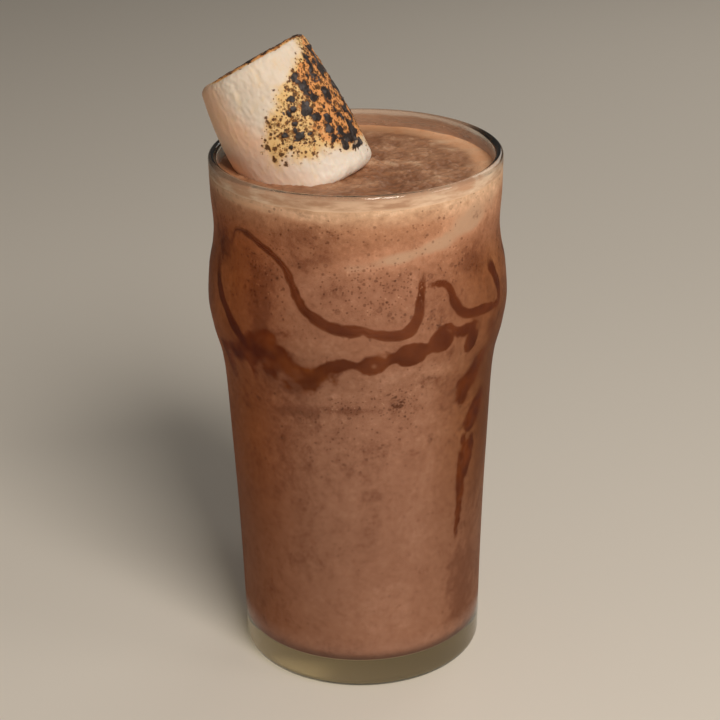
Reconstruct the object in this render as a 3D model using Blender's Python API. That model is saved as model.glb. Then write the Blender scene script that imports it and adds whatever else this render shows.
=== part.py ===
# A chocolate frappe in a bulged pint glass, with sauce drizzled down the inside of the
# glass and a toasted marshmallow set into the froth. Metres, +Z up, the glass stands on z = 0
# with its axis on the Z axis, and the marshmallow leans towards -X.

import math

import bmesh
import bpy
import numpy as np
from mathutils import Matrix, Vector

# Glass
GLASS_HEIGHT = 0.152
GLASS_SEGMENTS = 48
WALL = 0.00225
FOOT_CORNER = 0.0035
FLOOR_THICKNESS = 0.0078
FLOOR_CORNER = 0.005
# Height and outer radius: foot, taper, shoulder, widest part of the bulge, neck and rim.
GLASS_OUTLINE = (
    (0.0035, 0.0349),
    (0.020, 0.0352),
    (0.045, 0.0360),
    (0.070, 0.0372),
    (0.088, 0.0382),
    (0.095, 0.0391),
    (0.103, 0.0411),
    (0.111, 0.0422),
    (0.120, 0.0416),
    (0.127, 0.0403),
    (0.132, 0.0399),
    (0.142, 0.0405),
    (0.152, 0.0407),
)

# Drink
DRINK_LEVEL = 0.147
GAP = 0.0003
FROTH_RELIEF = 0.00035
FROTH_RINGS = 6

# Sauce on the inside of the glass: angle in degrees from -Y towards +X, height and width in mm.
SAUCE_THICKNESS = 0.0012
SAUCE_STATION = 0.0032
SAUCE_END = 0.6
SAUCE_INNER_EDGE = 0.7
CURVE_SAMPLES = 40
GARLAND = (
    (-65.2, 133.7, 1.5), (-60.7, 132.2, 1.3), (-56.3, 136.8, 1.6), (-46.9, 137.1, 1.9), (-34.2, 132.6, 2.0),
    (-26.9, 126.5, 2.1), (-21.2, 119.9, 3.0), (-12.1, 115.8, 3.3), (-0.6, 114.5, 3.0), (8.6, 113.1, 3.1),
    (18.0, 112.9, 3.3), (23.0, 116.6, 3.2), (24.9, 122.6, 2.3), (27.0, 127.6, 1.6), (32.5, 124.8, 1.5),
    (38.4, 121.3, 2.3), (42.4, 116.0, 3.3), (46.9, 114.2, 2.9), (57.5, 113.2, 3.2), (67.3, 112.2, 2.4),
    (69.9, 116.0, 3.0), (67.0, 121.2, 3.6), (65.0, 125.2, 3.0),
)
LEFT_SWAG = (
    (-72.3, 126.4, 2.4), (-68.1, 119.9, 3.0), (-62.0, 114.4, 3.2), (-55.3, 109.8, 3.4), (-47.5, 105.4, 3.4),
)
BAND = (
    (-66, 99.6, 2.6), (-54, 102.4, 3.6), (-45, 104.5, 4.4), (-36, 106.3, 6.4), (-30.5, 104.2, 5.2),
    (-25.5, 100.8, 5.4), (-19.0, 100.6, 4.8), (-11.6, 103.6, 4.3), (-2, 104.7, 3.2), (5.6, 104.4, 5.2),
    (12.5, 105.6, 3.6), (20.5, 106.3, 6.0), (27.5, 107.5, 3.4), (34.1, 109.3, 6.4), (40.0, 110.4, 3.0),
    (47.0, 109.7, 4.2), (53.2, 109.3, 3.6),
)
BAND_DROP = ((50.2, 109.0, 4.4), (49.0, 105.6, 5.0), (48.2, 103.2, 3.2))
RUNS = (
    ((59.6, 100.0, 2.0), (57.5, 96.6, 4.6), (52.6, 91.8, 5.6), (50.2, 88.6, 4.8), (49.2, 86.4, 2.8)),
    (
        (65.4, 84.6, 2.6), (60.0, 80.6, 5.8), (55.0, 75.6, 4.6), (54.6, 70.0, 5.6), (52.6, 63.0, 4.2),
        (51.7, 52.6, 2.8), (50.3, 42.8, 1.4),
    ),
)
BACK_STOPS = (82, 124, 170, 221, 276)
BACK_TOP = 129.0
BACK_DROP = 15.0
BACK_WIDTHS = (1.6, 3.0)
BACK_SHARES = (0.22, 0.5, 0.78, 1)
# The groove in the drink: how far it clears the strand at its sides and behind it, and how far it
# cuts out past the drink towards the glass.
GROOVE_SIDE = 1.4 * GAP
GROOVE_BACK = 1.2 * GAP
GROOVE_OUT = 3 * GAP
STRAND_OUT = 1.3 * GAP

# Marshmallow
MALLOW_FOOT = Vector((-0.0093, -0.0001, 0.1409))
MALLOW_LEAN = Vector((-0.475, 0.205, 0.856)).normalized()
MALLOW_LENGTH = 0.0406
MALLOW_FOOT_RADIUS = 0.0168
MALLOW_TOP_RADIUS = 0.0163
MALLOW_BELLY = 0.0016
MALLOW_BELLY_LEFT = 0.6
MALLOW_FOOT_ROUNDING = 0.0032
MALLOW_TOP_ROUNDING = 0.0028
MALLOW_CREASE = 0.00012
MALLOW_CLEARANCE = 1.2 * GAP
MALLOW_SEGMENTS = 36
MALLOW_SIDE_RINGS = 6


def clear_scene():
    for item in list(bpy.data.objects):
        bpy.data.objects.remove(item)


def material(name, color, roughness, transmission=0.0):
    made = bpy.data.materials.new(name)
    made.use_nodes = True
    shader = made.node_tree.nodes["Principled BSDF"]
    shader.inputs["Base Color"].default_value = (*color, 1)
    shader.inputs["Roughness"].default_value = roughness
    shader.inputs["Metallic"].default_value = 0
    shader.inputs["Transmission Weight"].default_value = transmission
    return made


def add_object(name, mesh, surface, collection=None):
    made = bpy.data.objects.new(name, mesh)
    mesh.materials.append(surface)
    mesh.shade_smooth()
    mesh.set_sharp_from_angle(angle=math.radians(50))
    (collection or bpy.context.scene.collection).objects.link(made)
    return made


def smooth_rows(rows, places):
    # A Catmull-Rom curve through the rows, read at the given places: row 0 is place 0.
    rows = np.array(rows, float)
    padded = np.vstack([2 * rows[0] - rows[1], rows, 2 * rows[-1] - rows[-2]])
    first = np.clip(np.floor(places).astype(int), 0, len(rows) - 2)
    t = (places - first)[:, None]
    a, b, c, d = (padded[first + step] for step in range(4))
    return 0.5 * (2 * b + (c - a) * t + (2 * a - 5 * b + 4 * c - d) * t**2 + (3 * b - a - 3 * c + d) * t**3)


def glass_radius(height):
    # The outer radius at each height: a curve through the outline with level tangents only
    # where the outline turns, so that the taper has no ripples.
    z, r = np.array(GLASS_OUTLINE).T
    step = np.diff(z)
    slope = np.diff(r) / step
    before, after = slope[:-1], slope[1:]
    same = before * after > 0
    inner = np.where(same, 2 * before * after / np.where(same, before + after, 1), 0)
    tangent = np.concatenate([slope[:1], inner, slope[-1:]])
    at = np.clip(np.searchsorted(z, height) - 1, 0, len(step) - 1)
    t = np.clip((height - z[at]) / step[at], 0, 1)
    rise = r[at] * (2 * t**3 - 3 * t**2 + 1) + r[at + 1] * (3 * t**2 - 2 * t**3)
    return rise + step[at] * (tangent[at] * (t**3 - 2 * t**2 + t) + tangent[at + 1] * (t**3 - t**2))


def inner_radius(height):
    return glass_radius(height) - WALL


def wall_heights():
    # Close together through the bulge, far apart along the taper.
    taper = [0.013, 0.030, 0.050, 0.070, 0.084]
    bulge = list(np.arange(0.0900, 0.134, 0.0035))
    return np.array(taper + bulge + [0.139, 0.1455])


def arc(centre, radius, start, end, steps):
    angles = np.radians(np.linspace(start, end, steps + 1))
    return [(centre[0] + radius * math.cos(a), centre[1] + radius * math.sin(a)) for a in angles]


def glass_profile():
    foot = glass_radius(FOOT_CORNER)
    outer = arc((foot - FOOT_CORNER, FOOT_CORNER), FOOT_CORNER, -90, 0, 3)
    walls = wall_heights()
    outer += [(glass_radius(z), z) for z in walls]
    lip = WALL / 2
    rim = arc((glass_radius(GLASS_HEIGHT) - lip, GLASS_HEIGHT - lip), lip, 0, 180, 4)
    inner = [(inner_radius(z), z) for z in walls[::-1]]
    corner = FLOOR_THICKNESS + FLOOR_CORNER
    floor = arc((inner_radius(corner) - FLOOR_CORNER, corner), FLOOR_CORNER, 0, -90, 4)
    return [(0, 0)] + outer + rim + inner + floor[1:] + [(0, FLOOR_THICKNESS)]


def froth_height(x, y):
    # Low swells of froth, which die out towards the glass.
    swell = np.sin(x * 310 + 0.6) * np.cos(y * 270 - 0.4) + 0.7 * np.sin((x + y) * 190 + 2)
    edge = np.clip((inner_radius(DRINK_LEVEL) - np.hypot(x, y)) / 0.008, 0, 1)
    return DRINK_LEVEL + FROTH_RELIEF * swell * edge


def drink_profile():
    corner = FLOOR_THICKNESS + FLOOR_CORNER
    floor = arc((inner_radius(corner) - FLOOR_CORNER, corner), FLOOR_CORNER - GAP, -90, 0, 4)
    side = [(inner_radius(z) - GAP, z) for z in wall_heights()]
    edge = inner_radius(DRINK_LEVEL) - GAP
    top = [(r, DRINK_LEVEL) for r in np.linspace(edge, 0, FROTH_RINGS + 1)]
    return [(0, FLOOR_THICKNESS + GAP)] + floor[:-1] + side + top


def turned_mesh(name, profile, segments):
    # The profile runs from the axis, outwards and up, and back to the axis.
    made = bmesh.new()
    points = [made.verts.new((r, 0, z)) for r, z in profile]
    edges = [made.edges.new(pair) for pair in zip(points, points[1:])]
    bmesh.ops.spin(
        made, geom=points + edges, cent=(0, 0, 0), axis=(0, 0, 1),
        angle=math.tau, steps=segments, use_merge=True,
    )
    bmesh.ops.remove_doubles(made, verts=made.verts, dist=1e-6)
    bmesh.ops.recalc_face_normals(made, faces=made.faces)
    mesh = bpy.data.meshes.new(name)
    made.to_mesh(mesh)
    made.free()
    return mesh


def moved_points(mesh, rule):
    # The rule takes and gives an array of points.
    points = np.empty(len(mesh.vertices) * 3, np.float32)
    mesh.vertices.foreach_get("co", points)
    mesh.vertices.foreach_set("co", rule(points.reshape(-1, 3).astype(float)).astype(np.float32).ravel())
    mesh.update()


def make_glass():
    clear = material("clear_glass", (0.93, 0.96, 0.94), 0.02, 1.0)
    return add_object("glass", turned_mesh("glass", glass_profile(), GLASS_SEGMENTS), clear)


def make_drink(surface):
    mesh = turned_mesh("drink", drink_profile(), GLASS_SEGMENTS)

    def raise_froth(points):
        top = points[:, 2] > DRINK_LEVEL - 1e-5
        points[top, 2] = froth_height(points[top, 0], points[top, 1])
        return points

    moved_points(mesh, raise_froth)
    return add_object("drink", mesh, surface)


def strand_route(rows, spacing):
    # Evenly spaced angles (radians), heights and widths (metres) along a strand of sauce.
    fine = smooth_rows(rows, np.linspace(0, len(rows) - 1, CURVE_SAMPLES * len(rows)))
    angle, height, width = np.radians(fine[:, 0]), fine[:, 1] * 0.001, fine[:, 2] * 0.001
    across = inner_radius(height) * angle
    run = np.concatenate([[0], np.cumsum(np.hypot(np.diff(across), np.diff(height)))])
    places = np.linspace(0, run[-1], max(3, round(run[-1] / spacing)) + 1)
    return [np.interp(places, run, values) for values in (angle, height, width)]


def strand_mesh(name, rows, outer_gap, depth, margin, inner_edge):
    # A flat strand along the inside of the glass. Each station has four corners: two against
    # the glass and two at the given depth, where it is narrower by a share. Both ends taper, and
    # reach further by the margin.
    angle, height, width = strand_route(rows, SAUCE_STATION)
    radius = inner_radius(height)
    ahead = np.stack([np.gradient(angle * radius), np.gradient(height)], 1)
    ahead /= np.linalg.norm(ahead, axis=1)[:, None]
    for end, way in ((0, -1), (-1, 1)):
        angle[end] += way * margin * ahead[end, 0] / radius[end]
        height[end] += way * margin * ahead[end, 1]
    count = len(angle)
    half = width / 2 + margin
    half[[0, -1]] *= SAUCE_END
    rings = []
    for side, reach in ((1, 0), (-1, 0), (-inner_edge, 1), (inner_edge, 1)):
        a = angle - side * half * ahead[:, 1] / radius
        z = height + side * half * ahead[:, 0]
        r = inner_radius(z) - outer_gap - reach * depth
        rings.append(np.stack([r * np.sin(a), -r * np.cos(a), z], 1))
    points = np.stack(rings, 1).reshape(-1, 3)
    faces = [
        (4 * i + k, 4 * i + (k + 1) % 4, 4 * i + 4 + (k + 1) % 4, 4 * i + 4 + k)
        for i in range(count - 1)
        for k in range(4)
    ]
    faces += [(3, 2, 1, 0), tuple(4 * count - 4 + k for k in range(4))]
    mesh = bpy.data.meshes.new(name)
    mesh.from_pydata(points.tolist(), [], faces)
    made = bmesh.new()
    made.from_mesh(mesh)
    bmesh.ops.recalc_face_normals(made, faces=made.faces)
    made.to_mesh(mesh)
    made.free()
    return mesh


def back_garland():
    # Hanging loops of sauce round the far side, each lowest in its middle.
    thin, thick = BACK_WIDTHS
    rows = [(BACK_STOPS[0], BACK_TOP, thin)]
    for start, end in zip(BACK_STOPS, BACK_STOPS[1:]):
        for share in BACK_SHARES:
            hang = math.sin(math.pi * share) ** 0.8
            width = thin + (thick - thin) * hang
            rows.append((start + share * (end - start), BACK_TOP - BACK_DROP * hang, width))
    return rows


def sauce_strands():
    # Node name to its strands: the ones that touch are one piece.
    runs = {f"sauce_run_{i}": [run] for i, run in enumerate(RUNS, 1)}
    return {
        "sauce_garland": [GARLAND],
        "sauce_band": [BAND, LEFT_SWAG, BAND_DROP],
        "sauce_back": [back_garland()],
        **runs,
    }


def helper_collection(name):
    made = bpy.data.collections.new(name)
    bpy.context.scene.collection.children.link(made)
    return made


def helper(name, mesh, surface, collection):
    made = add_object(name, mesh, surface, collection)
    made.hide_render = True
    made.display_type = "WIRE"
    return made


def boolean(target, operation, tool):
    step = target.modifiers.new(tool.name, "BOOLEAN")
    step.operation = operation
    step.solver = "EXACT"
    step.object = tool


def make_sauce(drink):
    sauce = material("chocolate_sauce", (0.115, 0.036, 0.014), 0.25)
    helpers = helper_collection("sauce_helpers")
    for node, strands in sauce_strands().items():
        piece = None
        for number, rows in enumerate(strands):
            name = f"{node}_{number}"
            mesh = strand_mesh(name, rows, STRAND_OUT, SAUCE_THICKNESS, 0, SAUCE_INNER_EDGE)
            if piece is None:
                piece = add_object(node, mesh, sauce)
            else:
                boolean(piece, "UNION", helper(f"{name}_part", mesh, sauce, helpers))
            depth = GROOVE_OUT + STRAND_OUT + SAUCE_THICKNESS + GROOVE_BACK
            groove = strand_mesh(f"{name}_groove", rows, -GROOVE_OUT, depth, GROOVE_SIDE, 1)
            boolean(drink, "DIFFERENCE", helper(f"{name}_groove", groove, sauce, helpers))


def mallow_profile(grown):
    # Along the marshmallow's own axis, from the sunken end to the cap, grown by a margin.
    foot, top = MALLOW_FOOT_ROUNDING + grown, MALLOW_TOP_ROUNDING + grown
    low = arc((MALLOW_FOOT_RADIUS + grown - foot, foot - grown), foot, -90, 0, 3)
    high = arc((MALLOW_TOP_RADIUS + grown - top, MALLOW_LENGTH + grown - top), top, 0, 90, 3)
    shares = np.linspace(0, 1, MALLOW_SIDE_RINGS + 2)[1:-1]
    side = [tuple((1 - s) * np.array(low[-1]) + s * np.array(high[0])) for s in shares]
    return [(0, -grown)] + low + side + high + [(0, MALLOW_LENGTH + grown)]


def puff(points):
    # The side swells out between the ends, more towards local -X, and has soft creases.
    angle = np.arctan2(points[:, 1], points[:, 0])
    share = np.clip(points[:, 2] / MALLOW_LENGTH, 0, 1)
    out = np.hypot(points[:, 0], points[:, 1]) / MALLOW_FOOT_RADIUS
    belly = MALLOW_BELLY * (1 - MALLOW_BELLY_LEFT * np.cos(angle)) * np.sin(np.pi * share)
    crease = MALLOW_CREASE * np.sin(9 * angle + 0.7 * np.sin(3 * angle))
    points[:, 0] += (belly + crease) * out * np.cos(angle)
    points[:, 1] += (belly + crease) * out * np.sin(angle)
    return points


def place_mallow(piece):
    # Local Z runs along the marshmallow and local X points to the right and up.
    side = Vector((0, 1, 0)).cross(MALLOW_LEAN).normalized()
    turn = Matrix((side, MALLOW_LEAN.cross(side), MALLOW_LEAN)).transposed()
    piece.location = MALLOW_FOOT
    piece.rotation_mode = "QUATERNION"
    piece.rotation_quaternion = turn.to_quaternion()


def make_mallow(drink):
    toasted = material("toasted_marshmallow", (0.86, 0.76, 0.62), 0.75)
    mesh = turned_mesh("marshmallow", mallow_profile(0), MALLOW_SEGMENTS)
    moved_points(mesh, puff)
    mallow = add_object("marshmallow", mesh, toasted)
    place_mallow(mallow)
    pocket = turned_mesh("mallow_pocket", mallow_profile(MALLOW_CLEARANCE), MALLOW_SEGMENTS)
    moved_points(pocket, puff)
    cutter = helper("mallow_pocket", pocket, toasted, helper_collection("mallow_helpers"))
    place_mallow(cutter)
    boolean(drink, "DIFFERENCE", cutter)


def main():
    clear_scene()
    make_glass()
    drink = make_drink(material("chocolate_drink", (0.29, 0.145, 0.078), 0.45))
    make_sauce(drink)
    make_mallow(drink)


main()
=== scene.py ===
# Chocolate frappe in a bulged pint glass, with sauce drizzled down the inside of the glass and a torched
# marshmallow set into the froth. Metres, Z up. The glass stands on the floor with its axis on the Z axis.

import math

import bpy
import numpy as np
from mathutils import Matrix, Vector


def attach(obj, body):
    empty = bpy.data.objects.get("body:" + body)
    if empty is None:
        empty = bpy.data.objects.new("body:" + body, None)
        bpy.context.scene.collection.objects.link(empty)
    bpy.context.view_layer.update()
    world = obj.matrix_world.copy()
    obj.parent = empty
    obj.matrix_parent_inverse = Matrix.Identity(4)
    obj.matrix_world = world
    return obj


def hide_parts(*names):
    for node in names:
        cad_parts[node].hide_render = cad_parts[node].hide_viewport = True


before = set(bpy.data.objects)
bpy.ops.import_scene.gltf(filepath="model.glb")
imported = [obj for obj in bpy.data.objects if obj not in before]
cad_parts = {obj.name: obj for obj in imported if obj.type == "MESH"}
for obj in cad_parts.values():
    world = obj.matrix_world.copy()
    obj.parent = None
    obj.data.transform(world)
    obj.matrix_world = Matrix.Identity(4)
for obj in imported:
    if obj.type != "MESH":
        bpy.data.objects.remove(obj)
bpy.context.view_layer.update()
mm = 0.001
nearAxis = 0.4 * mm      # how close to its axis a turned profile comes before its end is closed
print("loaded the frame with", len(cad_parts), "nodes")

lattice = {
    "factors": (73856093, 19349663, 83492791),    # a large odd number for each place of a cell
    "seedFactor": 40503001,
    "turns": ((15, 73244475), (13, 93563911)),    # a shift and a factor for each turn of the mixing
    "lastShift": 16,
    "lowBits": 0xFFFFFFFF,
    "seedStep": 7,           # between the layers of one noise
}


def latticeValue(cells, seed):
    # A repeatable number from 0 to 1 for each whole-number cell: products of its places and its seed, mixed
    # by shifts.
    mixed = seed * lattice["seedFactor"]
    for place, factor in enumerate(lattice["factors"]):
        mixed = mixed ^ (cells[..., place] * factor)
    mixed = mixed & lattice["lowBits"]
    for shift, factor in lattice["turns"]:
        mixed = ((mixed ^ (mixed >> shift)) * factor) & lattice["lowBits"]
    return (mixed ^ (mixed >> lattice["lastShift"])) / lattice["lowBits"]


def softNoise(points, size, seed):
    # Lattice values at the corners of cells of the given size, eased into each other, from -1 to 1.
    place = points / size
    cell = np.floor(place).astype(np.int64)
    ease = place - cell
    ease = ease * ease * (3 - 2 * ease)
    total = np.zeros(points.shape[:-1])
    for corner in np.ndindex(2, 2, 2):
        near = np.array(corner)
        weight = np.prod(np.where(near == 1, ease, 1 - ease), axis=-1)
        total += weight * latticeValue(cell + near, seed)
    return total * 2 - 1


def layeredNoise(points, size, seed, layers=3, fall=0.5):
    # Soft noise plus finer and fainter copies of it, each half the size of the one before.
    weights = fall ** np.arange(layers)
    total = 0
    for layer, weight in enumerate(weights):
        total = total + weight * softNoise(points, size * 0.5**layer, seed + lattice["seedStep"] * layer)
    return total / weights.sum()


def eased(values, low, high):
    # 0 below low, 1 above high, and an S curve between. Low may be the larger, which turns it round.
    t = np.clip((values - low) / (high - low), 0, 1)
    return t * t * (3 - 2 * t)


def smoothRows(rows, places):
    # A curve through the rows, read at the given row numbers. It passes each row in the direction that leads
    # from the row before it to the row after it.
    rows = np.array(rows, float)
    padded = np.vstack([2 * rows[0] - rows[1], rows, 2 * rows[-1] - rows[-2]])
    first = np.clip(np.floor(places).astype(int), 0, len(rows) - 2)
    t = (places - first)[:, None]
    a, b, c, d = (padded[first + step] for step in range(4))
    return 0.5 * (2 * b + (c - a) * t + (2 * a - 5 * b + 4 * c - d) * t**2 + (3 * b - a - 3 * c + d) * t**3)


def onGrid(*parts):
    # Points from their coordinates, each coordinate spread out over the one grid.
    return np.stack(np.broadcast_arrays(*parts), -1)


def level(start, end, height, steps):
    # A profile's points at one height, from one radius to another.
    return onGrid(np.linspace(start, end, steps), height)


def arc(centre, radius, start, end, steps):
    # A profile's points on a circle between two angles in degrees, in the (radius, height) plane.
    turn = np.radians(np.linspace(start, end, steps + 1))
    return onGrid(centre[0] + radius * np.cos(turn), centre[1] + radius * np.sin(turn))


def roundAxis(radius, turn, height):
    # x = r sin a, y = -r cos a, z = the height, so that angle 0 is the front.
    return onGrid(radius * np.sin(turn), -radius * np.cos(turn), height)


def carriedRound(outline, columns):
    # Each (radius, height) point of a profile becomes a ring round the Z axis.
    turn = np.linspace(0, math.tau, columns, endpoint=False)
    return roundAxis(outline[:, :1], turn, outline[:, 1:])


def gridPiece(name, rings, looped=False):
    # Rows of points, each row a ring round the piece, and neighbouring rows joined by quads. Each end is
    # closed by a fan of triangles to the middle of its row or, when the rows are looped, the last row joins
    # the first. The faces are turned over if the volume comes out negative.
    rows, columns = rings.shape[:2]
    points = rings.reshape(-1, 3)
    index = np.arange(rows * columns).reshape(rows, columns)
    fans = np.zeros((0, 3), int)
    if looped:
        index = np.vstack([index, index[:1]])
    else:
        points = np.vstack([points, rings[0].mean(0), rings[-1].mean(0)])
        low, high = np.full(columns, rows * columns), np.full(columns, rows * columns + 1)
        first = onGrid(np.roll(index[0], -1), index[0], low)
        last = onGrid(index[-1], np.roll(index[-1], -1), high)
        fans = np.vstack([first, last])
    ahead = np.roll(index, -1, axis=1)
    quads = onGrid(index[:-1], ahead[:-1], ahead[1:], index[1:]).reshape(-1, 4)
    corners = np.concatenate([quads.ravel(), fans.ravel()])
    sizes = np.concatenate([np.full(len(quads), 4), np.full(len(fans), 3)])
    starts = np.concatenate([[0], np.cumsum(sizes)[:-1]])
    a, b, c = points[quads[:, 0]], points[quads[:, 1]], points[quads[:, 2]]
    if np.einsum("ij,ij->i", a, np.cross(b, c)).sum() < 0:
        corners = np.concatenate([quads[:, ::-1].ravel(), fans[:, ::-1].ravel()])
    mesh = bpy.data.meshes.new(name)
    mesh.vertices.add(len(points))
    mesh.vertices.foreach_set("co", points.astype(np.float32).ravel())
    mesh.loops.add(len(corners))
    mesh.loops.foreach_set("vertex_index", corners.astype(np.int32))
    mesh.polygons.add(len(sizes))
    mesh.polygons.foreach_set("loop_start", starts.astype(np.int32))
    mesh.update(calc_edges=True)
    mesh.validate()
    mesh.shade_smooth()
    piece = bpy.data.objects.new(name, mesh)
    bpy.context.scene.collection.objects.link(piece)
    return piece


def keepValue(piece, name, values):
    # One number for each point of the grid, with the two end points given the mean of their rows.
    flat = np.concatenate([values.ravel(), [values[0].mean(), values[-1].mean()]])
    kept = piece.data.attributes.new(name, "FLOAT", "POINT")
    kept.data.foreach_set("value", flat.astype(np.float32))


def finished(piece, material, slot, *nodes):
    # Gives a piece its material, and says what it rides on and what it stands in for. Its slot is not used.
    piece.data.materials.append(material)
    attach(piece, "root")
    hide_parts(*nodes)
    print("made", piece.name, "with", len(piece.data.polygons), "faces")


def feed(tree, inlet, value):
    # Links a wire to a socket, or sets the socket. A colour is given without its alpha.
    if isinstance(value, Wire):
        tree.links.new(value.socket, inlet)
    else:
        inlet.default_value = (*value, 1) if inlet.type == "RGBA" else value


def arithmetic(operation, turned=False):
    # A method that joins a wire and another value by one Math node, the other one first when turned.
    def joined(self, other):
        pair = (other, self) if turned else (self, other)
        return self.math(operation, *pair)
    return joined


class Wire:
    # One outlet of a node. Arithmetic on wires, or on wires and numbers, adds Math nodes.
    def __init__(self, tree, socket):
        self.tree, self.socket = tree, socket

    def math(self, operation, *values):
        node = self.tree.nodes.new("ShaderNodeMath")
        node.operation = operation
        for inlet, value in zip(node.inputs, values):
            feed(self.tree, inlet, value)
        return Wire(self.tree, node.outputs[0])

    def size(self):
        return self.math("ABSOLUTE", self)

    __add__ = arithmetic("ADD")
    __radd__ = arithmetic("ADD", turned=True)
    __sub__ = arithmetic("SUBTRACT")
    __rsub__ = arithmetic("SUBTRACT", turned=True)
    __mul__ = arithmetic("MULTIPLY")
    __rmul__ = arithmetic("MULTIPLY", turned=True)
    __truediv__ = arithmetic("DIVIDE")
    most = arithmetic("MAXIMUM")


class Finish:
    # A material whose nodes are added one by one.
    def __init__(self, name):
        self.material = bpy.data.materials.new(name)
        self.material.use_nodes = True
        self.tree = self.material.node_tree
        self.shader = self.tree.nodes["Principled BSDF"]
        self.place = self.node("TexCoord", {}, {}, "Object")

    def node(self, kind, settings, inlets, outlet=0):
        made = self.tree.nodes.new("ShaderNode" + kind)
        for key, value in settings.items():
            setattr(made, key, value)
        for key, value in inlets.items():
            feed(self.tree, made.inputs[key], value)
        return Wire(self.tree, made.outputs[outlet])

    def noise(self, cell, detail=2, rough=0.5, place=None):
        # About one swell to each cell, from 0 to 1.
        return self.node("TexNoise", {}, {
            "Vector": place or self.place, "Scale": 0.5 / cell, "Detail": detail, "Roughness": rough,
        })

    def cells(self, cell, outlet="Distance", place=None):
        # How far the middle of the nearest cell is, or another outlet of it.
        return self.node("TexVoronoi", {}, {"Vector": place or self.place, "Scale": 1 / cell}, outlet)

    def lot(self, cell):
        # A number from 0 to 1 that each cell draws for itself.
        return self.node("SeparateColor", {}, {0: self.cells(cell, "Color")}, "Red")

    def stretched(self, scale):
        return self.node("Mapping", {}, {"Vector": self.place, "Scale": scale})

    def value(self, name):
        return self.node("Attribute", {"attribute_name": name}, {}, "Fac")

    def ramp(self, wire, stops):
        # The colours between the stops, each a place from 0 to 1 and a colour.
        made = self.node("ValToRGB", {}, {"Fac": wire})
        elements = made.socket.node.color_ramp.elements
        while len(elements) < len(stops):
            elements.new(1)
        for element, (position, colour) in zip(elements, stops):
            element.position = position
            element.color = (*colour, 1)
        return made

    def ease(self, wire, low, high):
        # 0 below low, 1 above high, and an S curve between. Low may be the larger, which turns it round.
        return self.node("MapRange", {"interpolation_type": "SMOOTHSTEP"}, {
            "Value": wire, "From Min": low, "From Max": high, "To Min": 0.0, "To Max": 1.0,
        })

    def blend(self, cover, below, above, mode="MIX"):
        # Lays one colour over another: inlet 0 is how much of it shows, 6 and 7 are the two colours.
        return self.node("Mix", {"data_type": "RGBA", "blend_type": mode}, {0: cover, 6: below, 7: above}, 2)

    def layered(self, colour, *layers):
        # Lays more colours over one in turn, each given by how much of it shows, itself and perhaps a mode.
        for cover, above, *mode in layers:
            colour = self.blend(cover, colour, above, *mode)
        return colour

    def along(self, axis):
        return self.node("SeparateXYZ", {}, {0: self.place}, axis)

    def away(self, point):
        # The distance to a point.
        return self.node("VectorMath", {"operation": "DISTANCE"}, {0: self.place, 1: point}, "Value")

    def bump(self, wire, depth, strength=1.0):
        return self.node("Bump", {}, {"Height": wire, "Distance": depth, "Strength": strength})

    def mixed(self, share, first, second):
        # One shader turning into another.
        return self.node("MixShader", {}, {0: share, 1: first, 2: second})

    def wear(self, **inlets):
        # Sets or links the shader's own sockets, by short names, and gives back the material.
        names = {
            "colour": "Base Color", "rough": "Roughness", "metal": "Metallic", "normal": "Normal",
            "specular": "Specular IOR Level", "through": "Transmission Weight", "ior": "IOR",
            "scatter": "Subsurface Weight", "reach": "Subsurface Scale", "spread": "Subsurface Radius",
            "glow": "Emission Color", "shine": "Emission Strength", "alpha": "Alpha",
        }
        for key, value in inlets.items():
            feed(self.tree, self.shader.inputs[names[key]], value)
        return self.material

    def ends(self, **wires):
        # Links wires to the material's own output: its Surface or its Volume.
        for key, wire in wires.items():
            feed(self.tree, self.tree.nodes["Material Output"].inputs[key], wire)


view = {
    "place": (0, -0.54438, 0.32366),
    "down": 23.33,       # degrees below level
    "aside": 0.04,       # degrees to the right
    "roll": -0.81,       # degrees
    "lens": 103.1,       # focal length in mm, for a sensor of the next width
    "sensor": 36,
    "nearest": 10 * mm,
}


def aimCamera():
    # Ahead is turned aside and down from +Y, and right and up are then rolled about it.
    down, aside, roll = (math.radians(view[key]) for key in ("down", "aside", "roll"))
    ahead = Vector((math.sin(aside) * math.cos(down), math.cos(aside) * math.cos(down), -math.sin(down)))
    right = ahead.cross(Vector((0, 0, 1))).normalized()
    up = right.cross(ahead)
    rolledRight = math.cos(roll) * right + math.sin(roll) * up
    rolledUp = math.cos(roll) * up - math.sin(roll) * right
    camera = bpy.data.objects.new("camera", bpy.data.cameras.new("camera"))
    camera.data.lens = view["lens"]
    camera.data.sensor_width = view["sensor"]
    camera.data.clip_start = view["nearest"]
    turned = Matrix((rolledRight, rolledUp, -ahead)).transposed().to_4x4()
    camera.matrix_world = Matrix.Translation(view["place"]) @ turned
    bpy.context.scene.collection.objects.link(camera)
    bpy.context.scene.camera = camera
    print("aimed the camera")


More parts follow.
